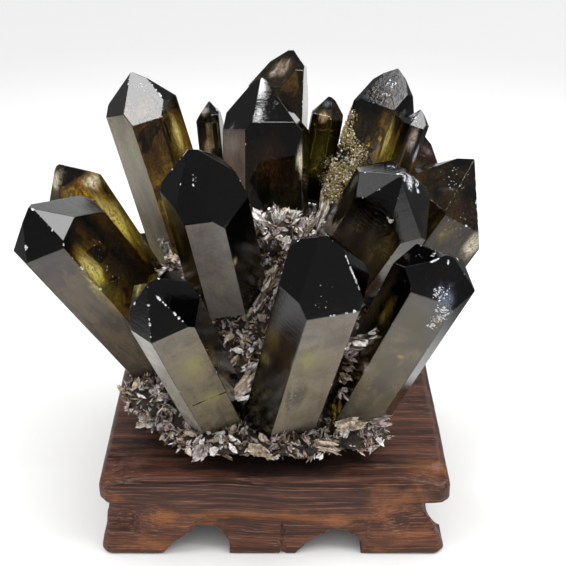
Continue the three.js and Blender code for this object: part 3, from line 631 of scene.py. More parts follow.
def veil_points(centre, normal, radius, rng):
    """The two skins of a thin wavy lens."""
    across = normal.orthogonal().normalized()
    along = normal.cross(across)
    oval = rng.uniform(0.45, 0.9)
    seed = Vector([rng.uniform(-50, 50) for _ in range(3)])
    skins = []
    for side in (1, -1):
        points = []
        for ring in range(VEIL_RINGS):
            share = ring / (VEIL_RINGS - 1)
            for k in range(VEIL_SIDES if ring else 1):
                angle = 2 * math.pi * k / VEIL_SIDES
                rim = 1 + 0.25 * noise.noise(seed + Vector((math.cos(angle), math.sin(angle), 0)))
                flat = across * math.cos(angle) + along * math.sin(angle) * oval
                point = centre + flat * (radius * share * rim)
                wave = noise.noise(seed + (point - centre) * (1.1 / radius)) * radius * 0.22
                half = VEIL_THICKNESS / 2 * math.sqrt(max(0.0, 1 - share * share))
                points.append(point + normal * (wave + half * side))
        skins.append(points)
    return skins


def well_inside(points, tree):
    for point in points:
        nearest, normal, _, distance = tree.find_nearest(point)
        if distance < VEIL_CLEARANCE or (point - nearest).dot(normal) > 0:
            return False
    return True


def add_veil(bm, skins):
    """Joins the two skins, turned inwards, so that the lens is a hollow in the crystal."""
    rim_start = 1 + VEIL_SIDES * (VEIL_RINGS - 2)
    top = [bm.verts.new(p) for p in skins[0]]
    bottom = [bm.verts.new(p) for p in skins[1][:rim_start]] + top[rim_start:]
    for verts, flip in ((top, True), (bottom, False)):
        for k in range(VEIL_SIDES):
            after = (k + 1) % VEIL_SIDES
            corners = [[0, 1 + k, 1 + after]]
            for ring in range(VEIL_RINGS - 2):
                inner = 1 + ring * VEIL_SIDES
                outer = inner + VEIL_SIDES
                corners.append([inner + k, outer + k, outer + after, inner + after])
            for loop in corners:
                order = reversed(loop) if flip else loop
                bm.faces.new([verts[i] for i in order]).smooth = True


def veiled(piece, spec, tree, rng):
    """Adds the inner veils of a crystal, below its tip."""
    tip = at(*spec["tip"])
    root = at(*spec["root"])
    bm = bmesh.new()
    bm.from_mesh(piece.data)
    for _ in range(VEILS):
        centre = tip.lerp(root, rng.uniform(*VEIL_SPAN))
        centre += random_direction(rng) * rng.uniform(0, VEIL_OFFSET) * MM
        normal = random_direction(rng)
        radius = rng.uniform(*VEIL_RADII) * MM
        while radius > SMALLEST_VEIL:
            skins = veil_points(centre, normal, radius, rng)
            if well_inside(skins[0], tree):
                add_veil(bm, skins)
                break
            radius *= 0.7
    bm.to_mesh(piece.data)
    bm.free()


# the dull colour of a crystal that lists no dull face
PLAIN_DULL = (0.18, 0.16, 0.13)
PLAIN_SPEC = {"shaft": AMBER, "steps": STEP_STRENGTH, "dull": [], "broken": [], "bruised": [], "grooves": []}
chip_skin = fracture()
for number, (name, listed) in enumerate(CRYSTALS.items()):
    spec = {**PLAIN_SPEC, **listed}
    rng = random.Random(100 + number)
    node = bpy.data.objects["crystal_" + name]
    tree = tree_of(node.data)
    axis = (Vector(spec["tip"]) - Vector(spec["root"])).normalized()
    mesh, edges = worn(node, axis, spec)
    materials = [quartz("quartz_" + name, spec), chip_skin]
    for k, colour in enumerate([c for _, c in spec["dull"]] or [PLAIN_DULL]):
        materials.append(quartz("quartz_dull_%s_%d" % (name, k), spec, colour))
    crystal = chipped("quartz_" + name, mesh, edges, spec, tree, rng, materials)
    veiled(crystal, spec, tree, rng)
    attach(crystal, "root")
    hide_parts("crystal_" + name)


# Druse: crusts of tiny quartz points on some of the crystals' faces. Each crust is a
# place, its radius, how many points, their lengths and a tone out of DRUSE_TONES.
DRUSE = {
    "back_left": [(-40.7, 21.7, 84.9, 3.4, 90, (0.7, 2), 0)],
    "pair_back_right": [(25, 26, 129, 4, 260, (0.3, 1), 2), (27, 28, 134, 3, 130, (0.2, 0.8), 2),
        (22, 22, 115, 5, 420, (0.3, 1.2), 2), (30, 23, 122, 4, 260, (0.2, 0.9), 2),
        (20, 20, 108, 5, 420, (0.3, 1.3), 2), (26, 21, 113, 4, 260, (0.2, 1), 2),
        (26, 25, 126, 4, 260, (0.2, 0.9), 2), (28, 22.5, 118, 4, 260, (0.2, 0.9), 2),
        (24, 22, 119, 5, 36, (0.4, 1.1), 0), (20, 20, 108, 5, 40, (0.4, 1.2), 0)],
    "small_back_right": [(19, 36, 106, 3.5, 180, (0.3, 1), 2), (20, 38, 112, 3, 110, (0.2, 0.8), 2)],
    "middle_right": [(36, -45.2, 125.3, 1, 10, (0.4, 0.9), 0), (43, -35, 135, 2.2, 40, (0.2, 0.6), 1)],
    "front_right": [(47.8, -72.3, 105.5, 2.2, 40, (0.3, 0.9), 0), (49.5, -76.5, 114, 3, 70, (0.15, 0.5), 1)],
}
# deep and light colours of the tones 0, 1 and 2
DRUSE_TONES = {
    "white": ((0.30, 0.27, 0.25), (0.90, 0.88, 0.86)),
    "glass": ((0.02, 0.022, 0.03), (0.70, 0.74, 0.84)),
    "olive": ((0.24, 0.175, 0.055), (0.88, 0.82, 0.68)),
}
POINT_SIDES = 6
POINT_TILT = 0.7
# how deep a point is set into the crystal, in millimetres
POINT_SUNK = 0.15


def add_spike(points, faces, rings, tip):
    """A closed spike, from the rings of points at its foot and its shoulder to its tip."""
    start = len(points)
    sides = len(rings) // 2
    points += [*rings, tip]
    faces.append(tuple(start + k for k in reversed(range(sides))))
    for k in range(sides):
        after = (k + 1) % sides
        faces.append((start + k, start + after, start + sides + after, start + sides + k))
        faces.append((start + sides + k, start + sides + after, start + 2 * sides))


def add_point(points, faces, base, along, radius, length):
    """A tiny six-sided crystal: a short prism and a blunt tip."""
    across = along.orthogonal().normalized()
    other = along.cross(across)
    rings = []
    for height, wide in ((0.0, 0.9), (0.6, 1.0)):
        for k in range(POINT_SIDES):
            angle = 2 * math.pi * k / POINT_SIDES
            ring = across * math.cos(angle) + other * math.sin(angle)
            rings.append(base + along * (length * height) + ring * (radius * wide))
    add_spike(points, faces, rings, base + along * length)


def grow_druse():
    rng = random.Random(7)
    points, faces, tones = [], [], []
    for name, crusts in DRUSE.items():
        tree = tree_of(bpy.data.objects["crystal_" + name].data)
        for x, y, z, radius, count, lengths, tone in crusts:
            centre = at(x, y, z)
            for _ in range(count):
                guess = centre + random_direction(rng) * radius * MM * rng.random() ** 0.6
                spot, normal, _, _ = tree.find_nearest(guess)
                length = rng.uniform(*lengths) * MM
                along = (normal + random_direction(rng) * POINT_TILT).normalized()
                if not inside_box(spot + along * length):
                    continue
                radius_here = length * rng.uniform(0.25, 0.45)
                foot = spot - normal * POINT_SUNK * MM
                add_point(points, faces, foot, along, radius_here, length)
                tones += [tone] * (len(faces) - len(tones))
    druse = new_piece("druse", points, faces)
    for name, colours in DRUSE_TONES.items():
        look = two_toned("druse_" + name, 900, 0.50, 0.66, *colours, rough=0.12, through=0.25)
        druse.data.materials.append(look)
    druse.data.polygons.foreach_set("material_index", tones)


grow_druse()


# The matrix: a rough lump, all grown over with thin blades in fan-shaped bunches.
# Sizes are in millimetres.
STAND_TOP = 31.5
# where the rim of the matrix begins, a little above the stand
RIM_FOOT = 34.1
# How many bunches and stacks grow, how far they stay from the crystals, how steeply they
# rise and how much their facing varies.
BUNCHES = dict(count=7000, clearance=0.4, rises=(0.1, 1.2), wobble=0.8)
STACKS = dict(count=900, clearance=1.0, rises=(0.0, 0.7), wobble=0.9)
FLAKES_IN_A_BUNCH = (4, 8)
FLAKE_LENGTH = (1.2, 4.2)
FLAKE_WIDTH = (0.4, 1.3)
FLAKE_SIDES = 5
LONG_BLADE_SHARE = 0.6
BUNCH_SPREAD = 0.26
BUNCH_RADIUS = 0.7
# how strongly the tones gather in clumps, and how many flakes or blades keep the given tone
TONE_CLUMPING = 2.2
TONE_KEPT = 0.7
FAN_TONE_KEPT = 0.8
FAN_FOOT = 1.5
PLATES_IN_A_STACK = (1, 4)
PLATE_LENGTH = (2.5, 6.0)
PLATE_WIDTH = (1.2, 2.8)
PLATE_STEP = 0.3
PLATE_LIFT = 0.4
STACK_SPREAD = 0.12
STACK_RADIUS = 0.4
BLADE_THICKNESS = (0.10, 0.26)
# Deep and light colours of the five tones: white, pink, cream, brown and dark.
BLADE_TONES = {
    "white": ((0.36, 0.31, 0.28), (0.86, 0.83, 0.80)),
    "pink": ((0.20, 0.145, 0.14), (0.62, 0.53, 0.52)),
    "cream": ((0.16, 0.115, 0.075), (0.58, 0.48, 0.37)),
    "brown": ((0.05, 0.03, 0.018), (0.24, 0.16, 0.10)),
    "dark": ((0.010, 0.008, 0.008), (0.09, 0.07, 0.065)),
}
TONE_COUNT = len(BLADE_TONES)
WHITE, PINK, PALE, BARK = range(4)
# how often a plate has one of these four tones
PLATE_TONES = (4, 5, 4, 1)
# Brighter and darker parts of the matrix: a place, a radius and weights of the five tones.
TONE_ZONES = [((0, 0, 107), 9, (10, 3, 3, 1, 0)), ((10, 5, 101), 9, (7, 4, 4, 2, 1)),
              ((-3, -5, 96), 8, (3, 3, 4, 4, 2)), ((0, -42, 37), 26, (4, 6, 6, 3, 1)),
              ((28, -36, 42), 12, (5, 7, 3, 2, 1)), ((-42, -26, 44), 10, (4, 4, 4, 4, 2))]
PLAIN_TONES = (2, 2, 3, 5, 4)
# Fans of long blades: the foot, where the blades point, how many, their lengths and widths,
# how wide the fan opens and its tone.
FANS = [
    ((-14.5, -34, 56), (0.65, -0.1, 0.75), 12, (9, 13), (0.7, 1.5), 0.14, PALE),
    ((-13, -33, 54), (0.85, -0.35, 0.35), 10, (5, 9), (0.8, 1.6), 0.22, WHITE),
    ((-9, -26, 60), (0.4, -0.5, 0.7), 12, (3, 6), (1, 2.2), 0.35, WHITE),
    ((-9, -23, 57), (0.5, -0.6, 0.5), 8, (3, 6), (1, 2.2), 0.3, PINK),
    ((-6, -10.5, 77), (0.45, 0.3, 0.85), 10, (6, 14), (1, 2), 0.08, WHITE),
    ((-3, -8, 84), (0.45, 0.3, 0.85), 10, (5, 9), (0.8, 1.8), 0.12, PALE),
    ((-4, -3, 104), (-0.3, -0.3, 0.9), 14, (3, 5), (1, 2.2), 0.35, WHITE),
    ((1, 0, 105), (0.1, -0.3, 0.95), 16, (3, 6), (1, 2.4), 0.35, WHITE),
    ((6, 1, 104), (0.5, -0.2, 0.85), 14, (3, 7), (0.8, 2), 0.3, WHITE),
    ((11, 5, 99), (0.6, 0.2, 0.75), 16, (3, 8), (0.8, 2), 0.25, PALE),
    ((14, 8, 98), (0.35, 0.2, 0.9), 12, (6, 12), (0.6, 1.2), 0.12, WHITE),
    ((17, 14, 101), (0.3, 0.1, 0.95), 14, (3, 8), (0.7, 1.6), 0.25, PALE),
    ((21, -10, 70), (0.85, -0.5, 0.15), 12, (4, 9), (1, 2.4), 0.2, PALE),
    ((20, -12, 66), (0.8, -0.6, 0.2), 10, (4, 8), (1, 2.2), 0.2, WHITE),
    ((18, -16, 78), (0.4, -0.7, 0.5), 12, (3, 6), (0.8, 1.8), 0.4, PINK),
    ((-44, -26, 40), (-0.6, -0.7, 0.3), 8, (3, 6), (1.4, 2.8), 0.35, WHITE),
    ((-46, -22, 46), (-0.8, -0.4, 0.4), 10, (3, 6), (0.6, 1.3), 0.3, PALE),
    ((-38, -30, 40), (-0.3, -0.9, 0.1), 8, (3, 5), (1, 2), 0.4, PINK),
    ((30, -33, 40), (0.5, -0.7, 0.3), 12, (3, 6), (1.2, 2.4), 0.35, PINK),
    ((22, -39, 46), (0.85, -0.35, 0.35), 12, (7, 12), (1, 2.2), 0.18, PALE),
    ((14, -43, 42), (0.9, -0.4, 0.1), 12, (6, 10), (1, 2.2), 0.2, PALE),
    ((34, -36, 46), (0.8, -0.4, 0.5), 10, (5, 9), (1, 2.2), 0.25, PINK),
    ((-8, -44, 40), (0.8, -0.5, 0.2), 12, (5, 9), (1, 2.2), 0.25, PALE),
    ((-24, -42, 38), (-0.5, -0.8, 0.2), 12, (4, 8), (1, 2.2), 0.3, PINK),
    ((36, -28, 44), (0.8, -0.5, 0.3), 10, (2, 5), (0.8, 1.8), 0.4, PALE),
    ((24, -45, 82), (0.8, -0.4, 0.3), 14, (5, 9), (1.2, 2.8), 0.2, PALE),
    ((26, -48, 85), (0.9, -0.4, 0.2), 12, (5, 8), (1.2, 2.6), 0.2, WHITE),
    ((31, -55, 91), (0.5, -0.5, 0.7), 8, (2, 5), (0.8, 1.8), 0.4, WHITE),
    ((24, -43, 77), (0.4, -0.7, 0.5), 14, (3, 6), (1, 2.2), 0.4, PINK),
    ((24, -41, 72), (0.3, -0.8, 0.3), 14, (2, 6), (1, 2.2), 0.4, PALE),
    ((22, -52, 84), (0.2, -0.7, 0.7), 10, (2, 5), (0.8, 1.8), 0.4, PINK),
    ((23, -40, 66), (0.3, -0.9, 0.2), 12, (2, 5), (0.8, 1.8), 0.4, PALE),
    ((23, -37, 58), (0.3, -0.9, 0.1), 12, (2, 5), (0.8, 1.8), 0.4, PINK),
]


def surface_points(mesh, count, rng):
    """Points spread evenly over a mesh, each with the face's normal."""
    mesh.calc_loop_triangles()
    triangles = [[mesh.vertices[i].co for i in t.vertices] for t in mesh.loop_triangles]
    normals = [t.normal.copy() for t in mesh.loop_triangles]
    areas = [t.area for t in mesh.loop_triangles]
    for k in rng.choices(range(len(triangles)), weights=areas, k=count):
        u, v = rng.random(), rng.random()
        if u + v > 1:
            u, v = 1 - u, 1 - v
        a, b, c = triangles[k]
        yield a + (b - a) * u + (c - a) * v, normals[k]


def add_blade(points, faces, base, along, flat, length, width, thickness):
    """A thin flat blade: four corners at its foot, four at its shoulder and a slanting tip."""
    across = along.cross(flat).normalized()
    rings = []
    for share, wide in ((0.0, 0.7), (0.68, 1.0)):
        for side, front in ((-1, -1), (1, -1), (1, 1), (-1, 1)):
            corner = across * (side * width * wide / 2) + flat * (front * thickness / 2)
            rings.append(base + along * (length * share) + corner)
    add_spike(points, faces, rings, base + along * length + across * (width * 0.2))


def add_flake(points, faces, base, along, flat, length, width, thickness, rng):
    """A small plate with an uneven rim, a little thicker in its middle."""
    across = along.cross(flat).normalized()
    middle = base + along * (length * 0.45)
    start = len(points)
    for k in range(FLAKE_SIDES):
        angle = 2 * math.pi * (k + rng.uniform(-0.3, 0.3)) / FLAKE_SIDES
        rim = along * (math.cos(angle) * length / 2) + across * (math.sin(angle) * width / 2)
        points.append(middle + rim * rng.uniform(0.75, 1.15))
    points.append(middle + flat * (thickness / 2))
    points.append(middle - flat * (thickness / 2))
    front, rear = start + FLAKE_SIDES, start + FLAKE_SIDES + 1
    for k in range(FLAKE_SIDES):
        here, after = start + k, start + (k + 1) % FLAKE_SIDES
        faces.append((after, here, front))
        faces.append((here, after, rear))


def tones_at(spot):
    for place, radius, weights in TONE_ZONES:
        if (spot - at(*place)).length < radius * MM:
            return weights
    return PLAIN_TONES


def turned(along, flat, spread, rng):
    """A plate's face direction, square to its length, near a given one."""
    return along.cross((flat + random_direction(rng) * spread).cross(along)).normalized()


def has_room(tip):
    """Whether a flake with its tip there stays above the stand and inside the box."""
    return tip.z > RIM_FOOT * MM and inside_box(tip)


def crust_places(lump, rng, count, clearance, rises, wobble):
    """Places on the rock that no crystal covers, with the way out, the way along and a facing."""
    for spot, normal in surface_points(lump, count, rng):
        if spot.z < RIM_FOOT * MM or all_crystals.find_nearest(spot)[3] < clearance * MM:
            continue
        sideways = normal.cross(random_direction(rng)).normalized()
        heading = (sideways + normal * rng.uniform(*rises)).normalized()
        yield spot, normal, heading, turned(heading, normal, wobble, rng)


def grow_flakes(lump):
    """The crust of small flakes, in one list of points and faces for each tone."""
    rng = random.Random(11)
    grown = [([], []) for _ in BLADE_TONES]
    for spot, normal, heading, flat in crust_places(lump, rng, **BUNCHES):
        clump = noise.noise(spot * 260)
        weights = []
        for k, weight in enumerate(tones_at(spot)):
            weights.append(weight * (1 + TONE_CLUMPING * max(0.0, clump if k < BARK else -clump)))
        tone = rng.choices(range(TONE_COUNT), weights=weights)[0]
        for _ in range(rng.randint(*FLAKES_IN_A_BUNCH)):
            along = (heading + random_direction(rng) * BUNCH_SPREAD).normalized()
            length = rng.uniform(*FLAKE_LENGTH) * MM
            width = rng.uniform(*FLAKE_WIDTH) * MM
            base = spot - normal * rng.uniform(0.0, 0.5) * MM + random_direction(rng) * BUNCH_RADIUS * MM
            if along.dot(normal) < 0.0 or not has_room(base + along * length):
                continue
            points, faces = grown[tone if rng.random() < TONE_KEPT else rng.randrange(TONE_COUNT)]
            own_flat = turned(along, flat, 0.25, rng)
            thickness = rng.uniform(*BLADE_THICKNESS) * MM
            if rng.random() < LONG_BLADE_SHARE:
                add_blade(points, faces, base, along, own_flat, length, width, thickness)
            else:
                add_flake(points, faces, base, along, own_flat, length * 0.6, width * 1.3, thickness, rng)
    return grown


def grow_plates(lump, grown):
    """Larger plates that lie on the crust, in small stacks."""
    rng = random.Random(13)
    for spot, normal, heading, flat in crust_places(lump, rng, **STACKS):
        tone = rng.choices((WHITE, PINK, PALE, BARK), weights=PLATE_TONES)[0]
        for layer in range(rng.randint(*PLATES_IN_A_STACK)):
            along = (heading + random_direction(rng) * STACK_SPREAD).normalized()
            length = rng.uniform(*PLATE_LENGTH) * MM
            width = rng.uniform(*PLATE_WIDTH) * MM
            base = spot + normal * PLATE_LIFT * MM + flat * layer * PLATE_STEP * MM
            base += random_direction(rng) * STACK_RADIUS * MM
            if has_room(base + along * length):
                points, faces = grown[tone]
                own_flat = turned(along, flat, 0.1, rng)
                thickness = rng.uniform(*BLADE_THICKNESS) * MM
                add_flake(points, faces, base, along, own_flat, length, width, thickness, rng)


def grow_fans(grown):
    """The long blades, added to the same lists."""
    rng = random.Random(12)
    for foot, heading, count, lengths, widths, spread, tone in FANS:
        heading = Vector(heading).normalized()
        flat = heading.cross(random_direction(rng)).normalized()
        for _ in range(count):
            along = (heading + random_direction(rng) * spread).normalized()
            base = at(*foot) + random_direction(rng) * FAN_FOOT * MM
            length = rng.uniform(*lengths) * MM
            width = rng.uniform(*widths) * MM
            if has_room(base + along * length):
                points, faces = grown[tone if rng.random() < FAN_TONE_KEPT else rng.randrange(TONE_COUNT)]
                own_flat = turned(along, flat, 0.4, rng)
                thickness = rng.uniform(*BLADE_THICKNESS) * MM
                add_blade(points, faces, base, along, own_flat, length, width, thickness)


LUMP_VOXEL = 0.9 * MM
# how high the hollow under the rim reaches and how deep it goes in
UNDERCUT_HEIGHT = 6.0
UNDERCUT_DEPTH = 6.5
LUMP_RELIEF = 1.1 * MM


def undercut(p, normal):
    """A craggy skin, and a hollow all around the lump's foot, under the rim."""
    crag = abs(noise.noise(p * 180)) + 0.6 * abs(noise.noise(p * 420))
    height = p.z / MM - STAND_TOP
    share = max(0.0, min(1.0, (UNDERCUT_HEIGHT - height) / UNDERCUT_HEIGHT))
    outward = Vector((p.x, p.y, 0)) - at(0, 0, 0)
    inset = UNDERCUT_DEPTH * MM * share ** 1.5 * (1 + 0.5 * noise.noise(p * 90))
    return p - normal * LUMP_RELIEF * crag - outward.normalized() * min(inset, outward.length * 0.5)


def rough_lump(node):
    mesh = reshaped(node, LUMP_VOXEL, undercut, STAND_TOP * MM)
    mesh.materials.clear()
    piece = new_object("rock_lump", mesh)
    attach(piece, "root")
    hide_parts("matrix")
    return piece


rock = Nodes("matrix_rock")
grit = rock.noise(rock.place(), 700, 6, 0.7)
rock.set(colour=rock.ramp(grit, [(0.35, (0.008, 0.006, 0.005)), (0.62, (0.05, 0.034, 0.024)),
                                 (0.85, (0.16, 0.13, 0.10))]))
rock.set(rough=0.7)
rock.bump(grit, 0.6, 0.8 * MM)
all_crystals = tree_of(*[bpy.data.objects["crystal_" + name].data for name in CRYSTALS])
lump = rough_lump(bpy.data.objects["matrix"])
lump.data.materials.append(rock.owner)
grown = grow_flakes(lump.data)
grow_plates(lump.data, grown)
grow_fans(grown)
for (name, colours), (points, faces) in zip(BLADE_TONES.items(), grown):
    piece = new_piece("flakes_" + name, points, faces)
    piece.data.materials.append(two_toned("flakes_" + name, 620, 0.36, 0.64, *colours, rough=0.24))


# The stand: the carved wood, worn, with the grain standing in low relief.
STAND_VOXEL = 0.9 * MM
GRAIN_RELIEF = 0.07 * MM
HAND_WAVE = 0.30 * MM
# Hollows that the tool and wear left: a place, a radius and a depth.
HOLLOWS = [((-51.5, -49.5, 14), 5.5, 1.3), ((-57, -41, 32), 5, 1.1), ((57, -43.5, 32), 5, 1.3),
           ((48, -49.5, 12), 5, 0.5)]
# the crack in the middle foot: where it is from left to right, and its upper end
CRACK_PLACE = 2.6
CRACK_TOP = 11.5
CRACK_HALF_WIDTH = 0.95 * MM
CRACK_DEPTH = 1.6 * MM


def carved(p, normal):
    """The grain, the waves of the carver's hand, the hollows and the crack."""
    grain = noise.noise(Vector((p.x * 14, p.y * 420, p.z * 420)))
    streak = noise.noise(Vector((p.x * 25 + 7, p.y * 900, p.z * 900)))
    wave = noise.noise(Vector((p.x * 60, p.y * 60, p.z * 60 + 3)))
    depth = GRAIN_RELIEF * (1 + 0.65 * grain + 0.35 * streak) + HAND_WAVE * 0.5 * (1 + wave)
    for place, radius, deep in HOLLOWS:
        share = max(0.0, 1 - ((p - at(*place)).length / (radius * MM)) ** 2)
        depth += deep * MM * share * share
    crack = at(CRACK_PLACE, 0, CRACK_TOP)
    if p.y < 0 and p.z < crack.z:
        bend = crack.x + 0.4 * MM * math.sin(p.z * 900)
        share = max(0.0, 1 - abs(p.x - bend) / CRACK_HALF_WIDTH)
        depth += CRACK_DEPTH * share
    return p - normal * depth


def carved_stand(node):
    mesh = reshaped(node, STAND_VOXEL, carved, 0.0, smoothing=3)
    for polygon in mesh.polygons:
        polygon.use_smooth = True
    piece = new_object("carved_stand", mesh)
    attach(piece, "root")
    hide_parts("wood_stand")
    return piece


WOOD_DARK = (0.020, 0.0080, 0.0060)
WOOD_MID = (0.088, 0.0310, 0.0170)
WOOD_LIGHT = (0.230, 0.108, 0.062)
WOOD_ORANGE = (0.195, 0.066, 0.019)
# Where the wood is paler and orange, and where it is dark: a place and its radii. The orange is paler worn
# wood and partly a painted highlight, on the crests above the arches, the band over them, the feet and the
# corners, where they catch the light.
WORN_AND_LIT_PLACES = [((-28, -50, 13.5), (14, 8, 3)), ((21.6, -50, 12.5), (10, 8, 3)),
                 ((43, -49, 20), (15, 8, 9)), ((46, -50, 7), (18, 8, 8)), ((-42, -50, 14), (9, 8, 6)),
                 ((-55, -48, 24), (7, 6, 4)), ((55, -44, 31), (12, 8, 4)), ((-45, -50, 5), (16, 8, 5)),
                 ((0, -50, 16), (70, 8, 3))]
# Of the dark places, the first, in the left foot's hollow, and the fourth and fifth, along the tray under
# the rock's rim, are painted shade; the others darken the wood in patches.
DARK_AND_SHADED_PLACES = [((-51.5, -49.5, 13), (5, 6, 7)), ((-3, -50, 9), (16, 6, 4)), ((48, -50, 3), (9, 6, 3)),
               ((0, -43, 31.5), (56, 7, 2.5)), ((-2, -42, 31.5), (44, 6, 2.5)), ((-55, -38, 32), (7, 8, 3)),
               ((-50, -20, 32), (9, 30, 3))]
# the painted shadow that the rock's rim casts on the tray, where it hangs over it
RIM_SHADOW_PLACE = ((-4, -32, 31.5), (52, 19, 3))
RIM_SHADOW_COLOUR = (0.007, 0.005, 0.005)
TINT_STRENGTH = 0.75


def wood():
    n = Nodes("stand_wood")
    place = n.place()
    bent = n.noise(place, 12, 2, 0.5)
    lift = n.add("ShaderNodeCombineXYZ", {"Z": n.between(bent, 0.2, 0.8, -2.5 * MM, 2.5 * MM)}).outputs[0]
    along = n.stretched(n.vector("ADD", place, lift), (0.013, 1, 1))
    bands = n.noise(along, 260, 3, 0.6)
    lines = n.noise(along, 2300, 5, 0.7)
    pores = n.noise(n.stretched(place, (0.06, 1, 1)), 2900, 3, 0.6)
    colour = n.mix(n.between(bands, 0.30, 0.70), WOOD_DARK, WOOD_MID)
    wander = n.between(n.plus(n.noise(place, 90, 5, 0.65), bands), 0.6, 1.4, -0.7, 0.7)
    # paler worn wood with a painted highlight, then darker patches, some of them painted shade
    for places, tint in ((WORN_AND_LIT_PLACES, WOOD_ORANGE), (DARK_AND_SHADED_PLACES, WOOD_DARK)):
        for centre, size in places:
            share = n.near(place, at(*centre), scaled(size, MM), wander, 0.0)
            colour = n.mix(n.times(share, TINT_STRENGTH), colour, tint)
    colour = n.mix(n.between(lines, 0.52, 0.68, 0.0, 0.8), colour, WOOD_LIGHT)
    colour = n.mix(n.between(lines, 0.34, 0.48, 0.85, 0.0), colour, WOOD_DARK)
    dashes = n.between(pores, 0.60, 0.68)
    colour = n.mix(n.times(dashes, 0.7), colour, WOOD_DARK)
    # the painted shadow under the rock's rim
    centre, size = RIM_SHADOW_PLACE
    share = n.near(place, at(*centre), scaled(size, MM), n.times(wander, 0.3), 0.55)
    colour = n.mix(n.times(share, TINT_STRENGTH), colour, RIM_SHADOW_COLOUR)
    n.set(colour=colour, specular=0.25, rough=n.between(lines, 0.3, 0.7, 0.30, 0.50))
    n.bump(n.math("SUBTRACT", lines, n.times(dashes, 0.5)), 0.3, 0.2 * MM)
    return n.owner


stand = carved_stand(bpy.data.objects["wood_stand"])
stand.data.materials.clear()
stand.data.materials.append(wood())


# The floor, in metres.
FLOOR_HALF = 6.0
# what the camera sees of the paper near the object, far from it and close to the camera: a painted pool of
# light round the object that fades with distance, and painted shade close to the camera
PAPER_NEAR = (0.60, 0.60, 0.597)
PAPER_FAR = (0.382, 0.382, 0.383)
PAPER_SHADING = (0.82, 0.82, 0.80)
# what lights the underside of things is brighter than what the camera sees
PAPER_LIGHTING = (0.80, 0.80, 0.795)
# In the crystals' mirrors the paper is a sheet of this half width that ends in front, and
# the room past it is dark.
SHEET_HALF = 0.26
SHEET_FRONT = -0.30
SHEET_MIRRORED = (0.47, 0.47, 0.465)
ROOM_MIRRORED = (0.09, 0.09, 0.09)
# the shade of the cluster itself, on its right and behind it on its left
SHADES = [((0.36, 0.20, 0), (0.34, 0.33, 1)), ((-0.14, 0.12, 0), (0.07, 0.08, 1))]
SHADE_MIRRORED = (0.035, 0.035, 0.035)
corners = [(x * FLOOR_HALF, y * FLOOR_HALF, 0) for x, y in ((-1, -1), (1, -1), (1, 1), (-1, 1))]
floor_mesh = bpy.data.meshes.new("floor")
floor_mesh.from_pydata(corners, [], [(0, 1, 2, 3)])
floor = new_object("floor", floor_mesh)
paper = Nodes("floor_paper")
x, y, _ = paper.split(paper.place())
# the painted pool of light round the object, and the painted shade close to the camera
shown = paper.mix(paper.between(paper.length(paper.place()), 0.12, 0.62), PAPER_NEAR, PAPER_FAR)
shaded = paper.mix(1.0, shown, PAPER_SHADING, "MULTIPLY")
shown = paper.mix(paper.between(y, -0.10, -0.055), shaded, shown)
across = paper.between(paper.math("ABSOLUTE", x), SHEET_HALF, SHEET_HALF + 0.06, 1, 0)
ahead = paper.between(y, SHEET_FRONT - 0.08, SHEET_FRONT)
mirrored = paper.mix(paper.times(across, ahead), ROOM_MIRRORED, SHEET_MIRRORED)
for centre, size in SHADES:
    mirrored = paper.mix(paper.near(paper.place(), centre, size, 0.0, 0.8), mirrored, SHADE_MIRRORED)
path = paper.add("ShaderNodeLightPath").outputs
indirect = paper.mix(path["Is Diffuse Ray"], mirrored, PAPER_LIGHTING)
paper.set(colour=paper.mix(path["Is Camera Ray"], indirect, shown), rough=0.9, specular=0.1)
floor_mesh.materials.append(paper.owner)

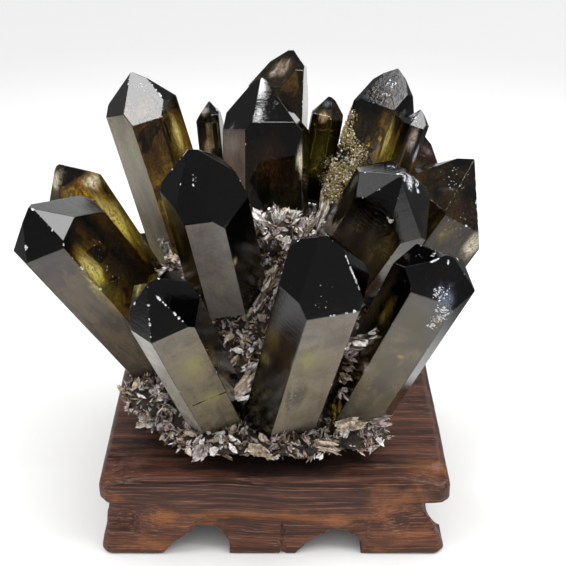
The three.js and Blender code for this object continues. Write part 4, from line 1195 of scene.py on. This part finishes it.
# Ceiling lights: low and high corners (x, y) seen from the object, for a height of 1, a turn
# in degrees and the brightness. The last two are the panes of a small skylight.
LIGHT_HEIGHT = 3.0
LIGHT_PANELS = [
    ((-0.62, -0.32), (-0.18, 0.06), 0, 11.0),
    ((0.34, -0.46), (1.15, 0.16), 0, 8.5),
    ((0.3700, 0.2400), (0.3752, 0.2605), 10, 42.0),
    ((0.3730, 0.2190), (0.3795, 0.2262), 10, 42.0),
]
for number, (low, high, turn, radiance) in enumerate(LIGHT_PANELS):
    data = bpy.data.lights.new("ceiling_light_%d" % number, "AREA")
    data.shape = "RECTANGLE"
    data.size = (high[0] - low[0]) * LIGHT_HEIGHT
    data.size_y = (high[1] - low[1]) * LIGHT_HEIGHT
    data.energy = radiance * math.pi * data.size * data.size_y
    lamp = new_object(data.name, data)
    lamp.location = [(low[k] + high[k]) / 2 * LIGHT_HEIGHT for k in range(2)] + [LIGHT_HEIGHT]
    lamp.rotation_euler = (0, 0, math.radians(turn))

# How bright the room is in the crystals' mirrors, and what its backdrop and its wall add.
ROOM_LIGHT = 0.2
BACKDROP_LIGHT = 0.9
WALL_LIGHT = 1.2
# what lights the dull surfaces from all around, on top of what the mirrors see
SOFT_LIGHT = 1.25
# what the camera sees past the floor
HORIZON_LIGHT = 0.88
sky = Nodes("studio", bpy.data.worlds)
scene.world = sky.owner
x, y, z = sky.split(sky.add("ShaderNodeTexCoord").outputs["Generated"])
sideways = sky.math("DIVIDE", sky.math("ABSOLUTE", x), y)
behind = sky.times(sky.between(y, 0.25, 0.6), sky.between(sideways, 0.65, 0.9, 1, 0))
backdrop = sky.times(behind, sky.between(z, 0.30, 0.42, 1, 0))
# a pale wall, up on the left and behind
wall_side = sky.times(sky.between(x, -0.73, -0.66, 1, 0), sky.between(y, 0.2, 0.35))
wall = sky.times(wall_side, sky.between(z, 0.40, 0.5))
mirrored = sky.plus(sky.times(backdrop, BACKDROP_LIGHT), ROOM_LIGHT)
mirrored = sky.plus(mirrored, sky.times(wall, WALL_LIGHT))
path = sky.add("ShaderNodeLightPath").outputs
direct = path["Is Camera Ray"]
pale = sky.times(direct, HORIZON_LIGHT)
other = sky.times(sky.math("SUBTRACT", 1.0, direct), mirrored)
soft = sky.times(path["Is Diffuse Ray"], SOFT_LIGHT)
sky.put(sky.plus(sky.plus(pale, other), soft), sky.shader.inputs["Strength"])
sky.put((1, 1, 1, 1), sky.shader.inputs["Color"])

# The camera, in metres, degrees and millimetres, as measured from the photograph.
CAMERA_PLACE = (0.00715, -0.37885, 0.273)
CAMERA_TILT_DOWN = 27
CAMERA_LENS = 75.24
SENSOR_WIDTH = 36
camera_data = bpy.data.cameras.new("camera")
camera_data.lens = CAMERA_LENS
camera_data.sensor_width = SENSOR_WIDTH
camera = new_object("camera", camera_data)
camera.location = CAMERA_PLACE
camera.rotation_euler = (math.radians(90 - CAMERA_TILT_DOWN), 0, 0)
scene.camera = camera
scene.view_settings.view_transform = "Standard"
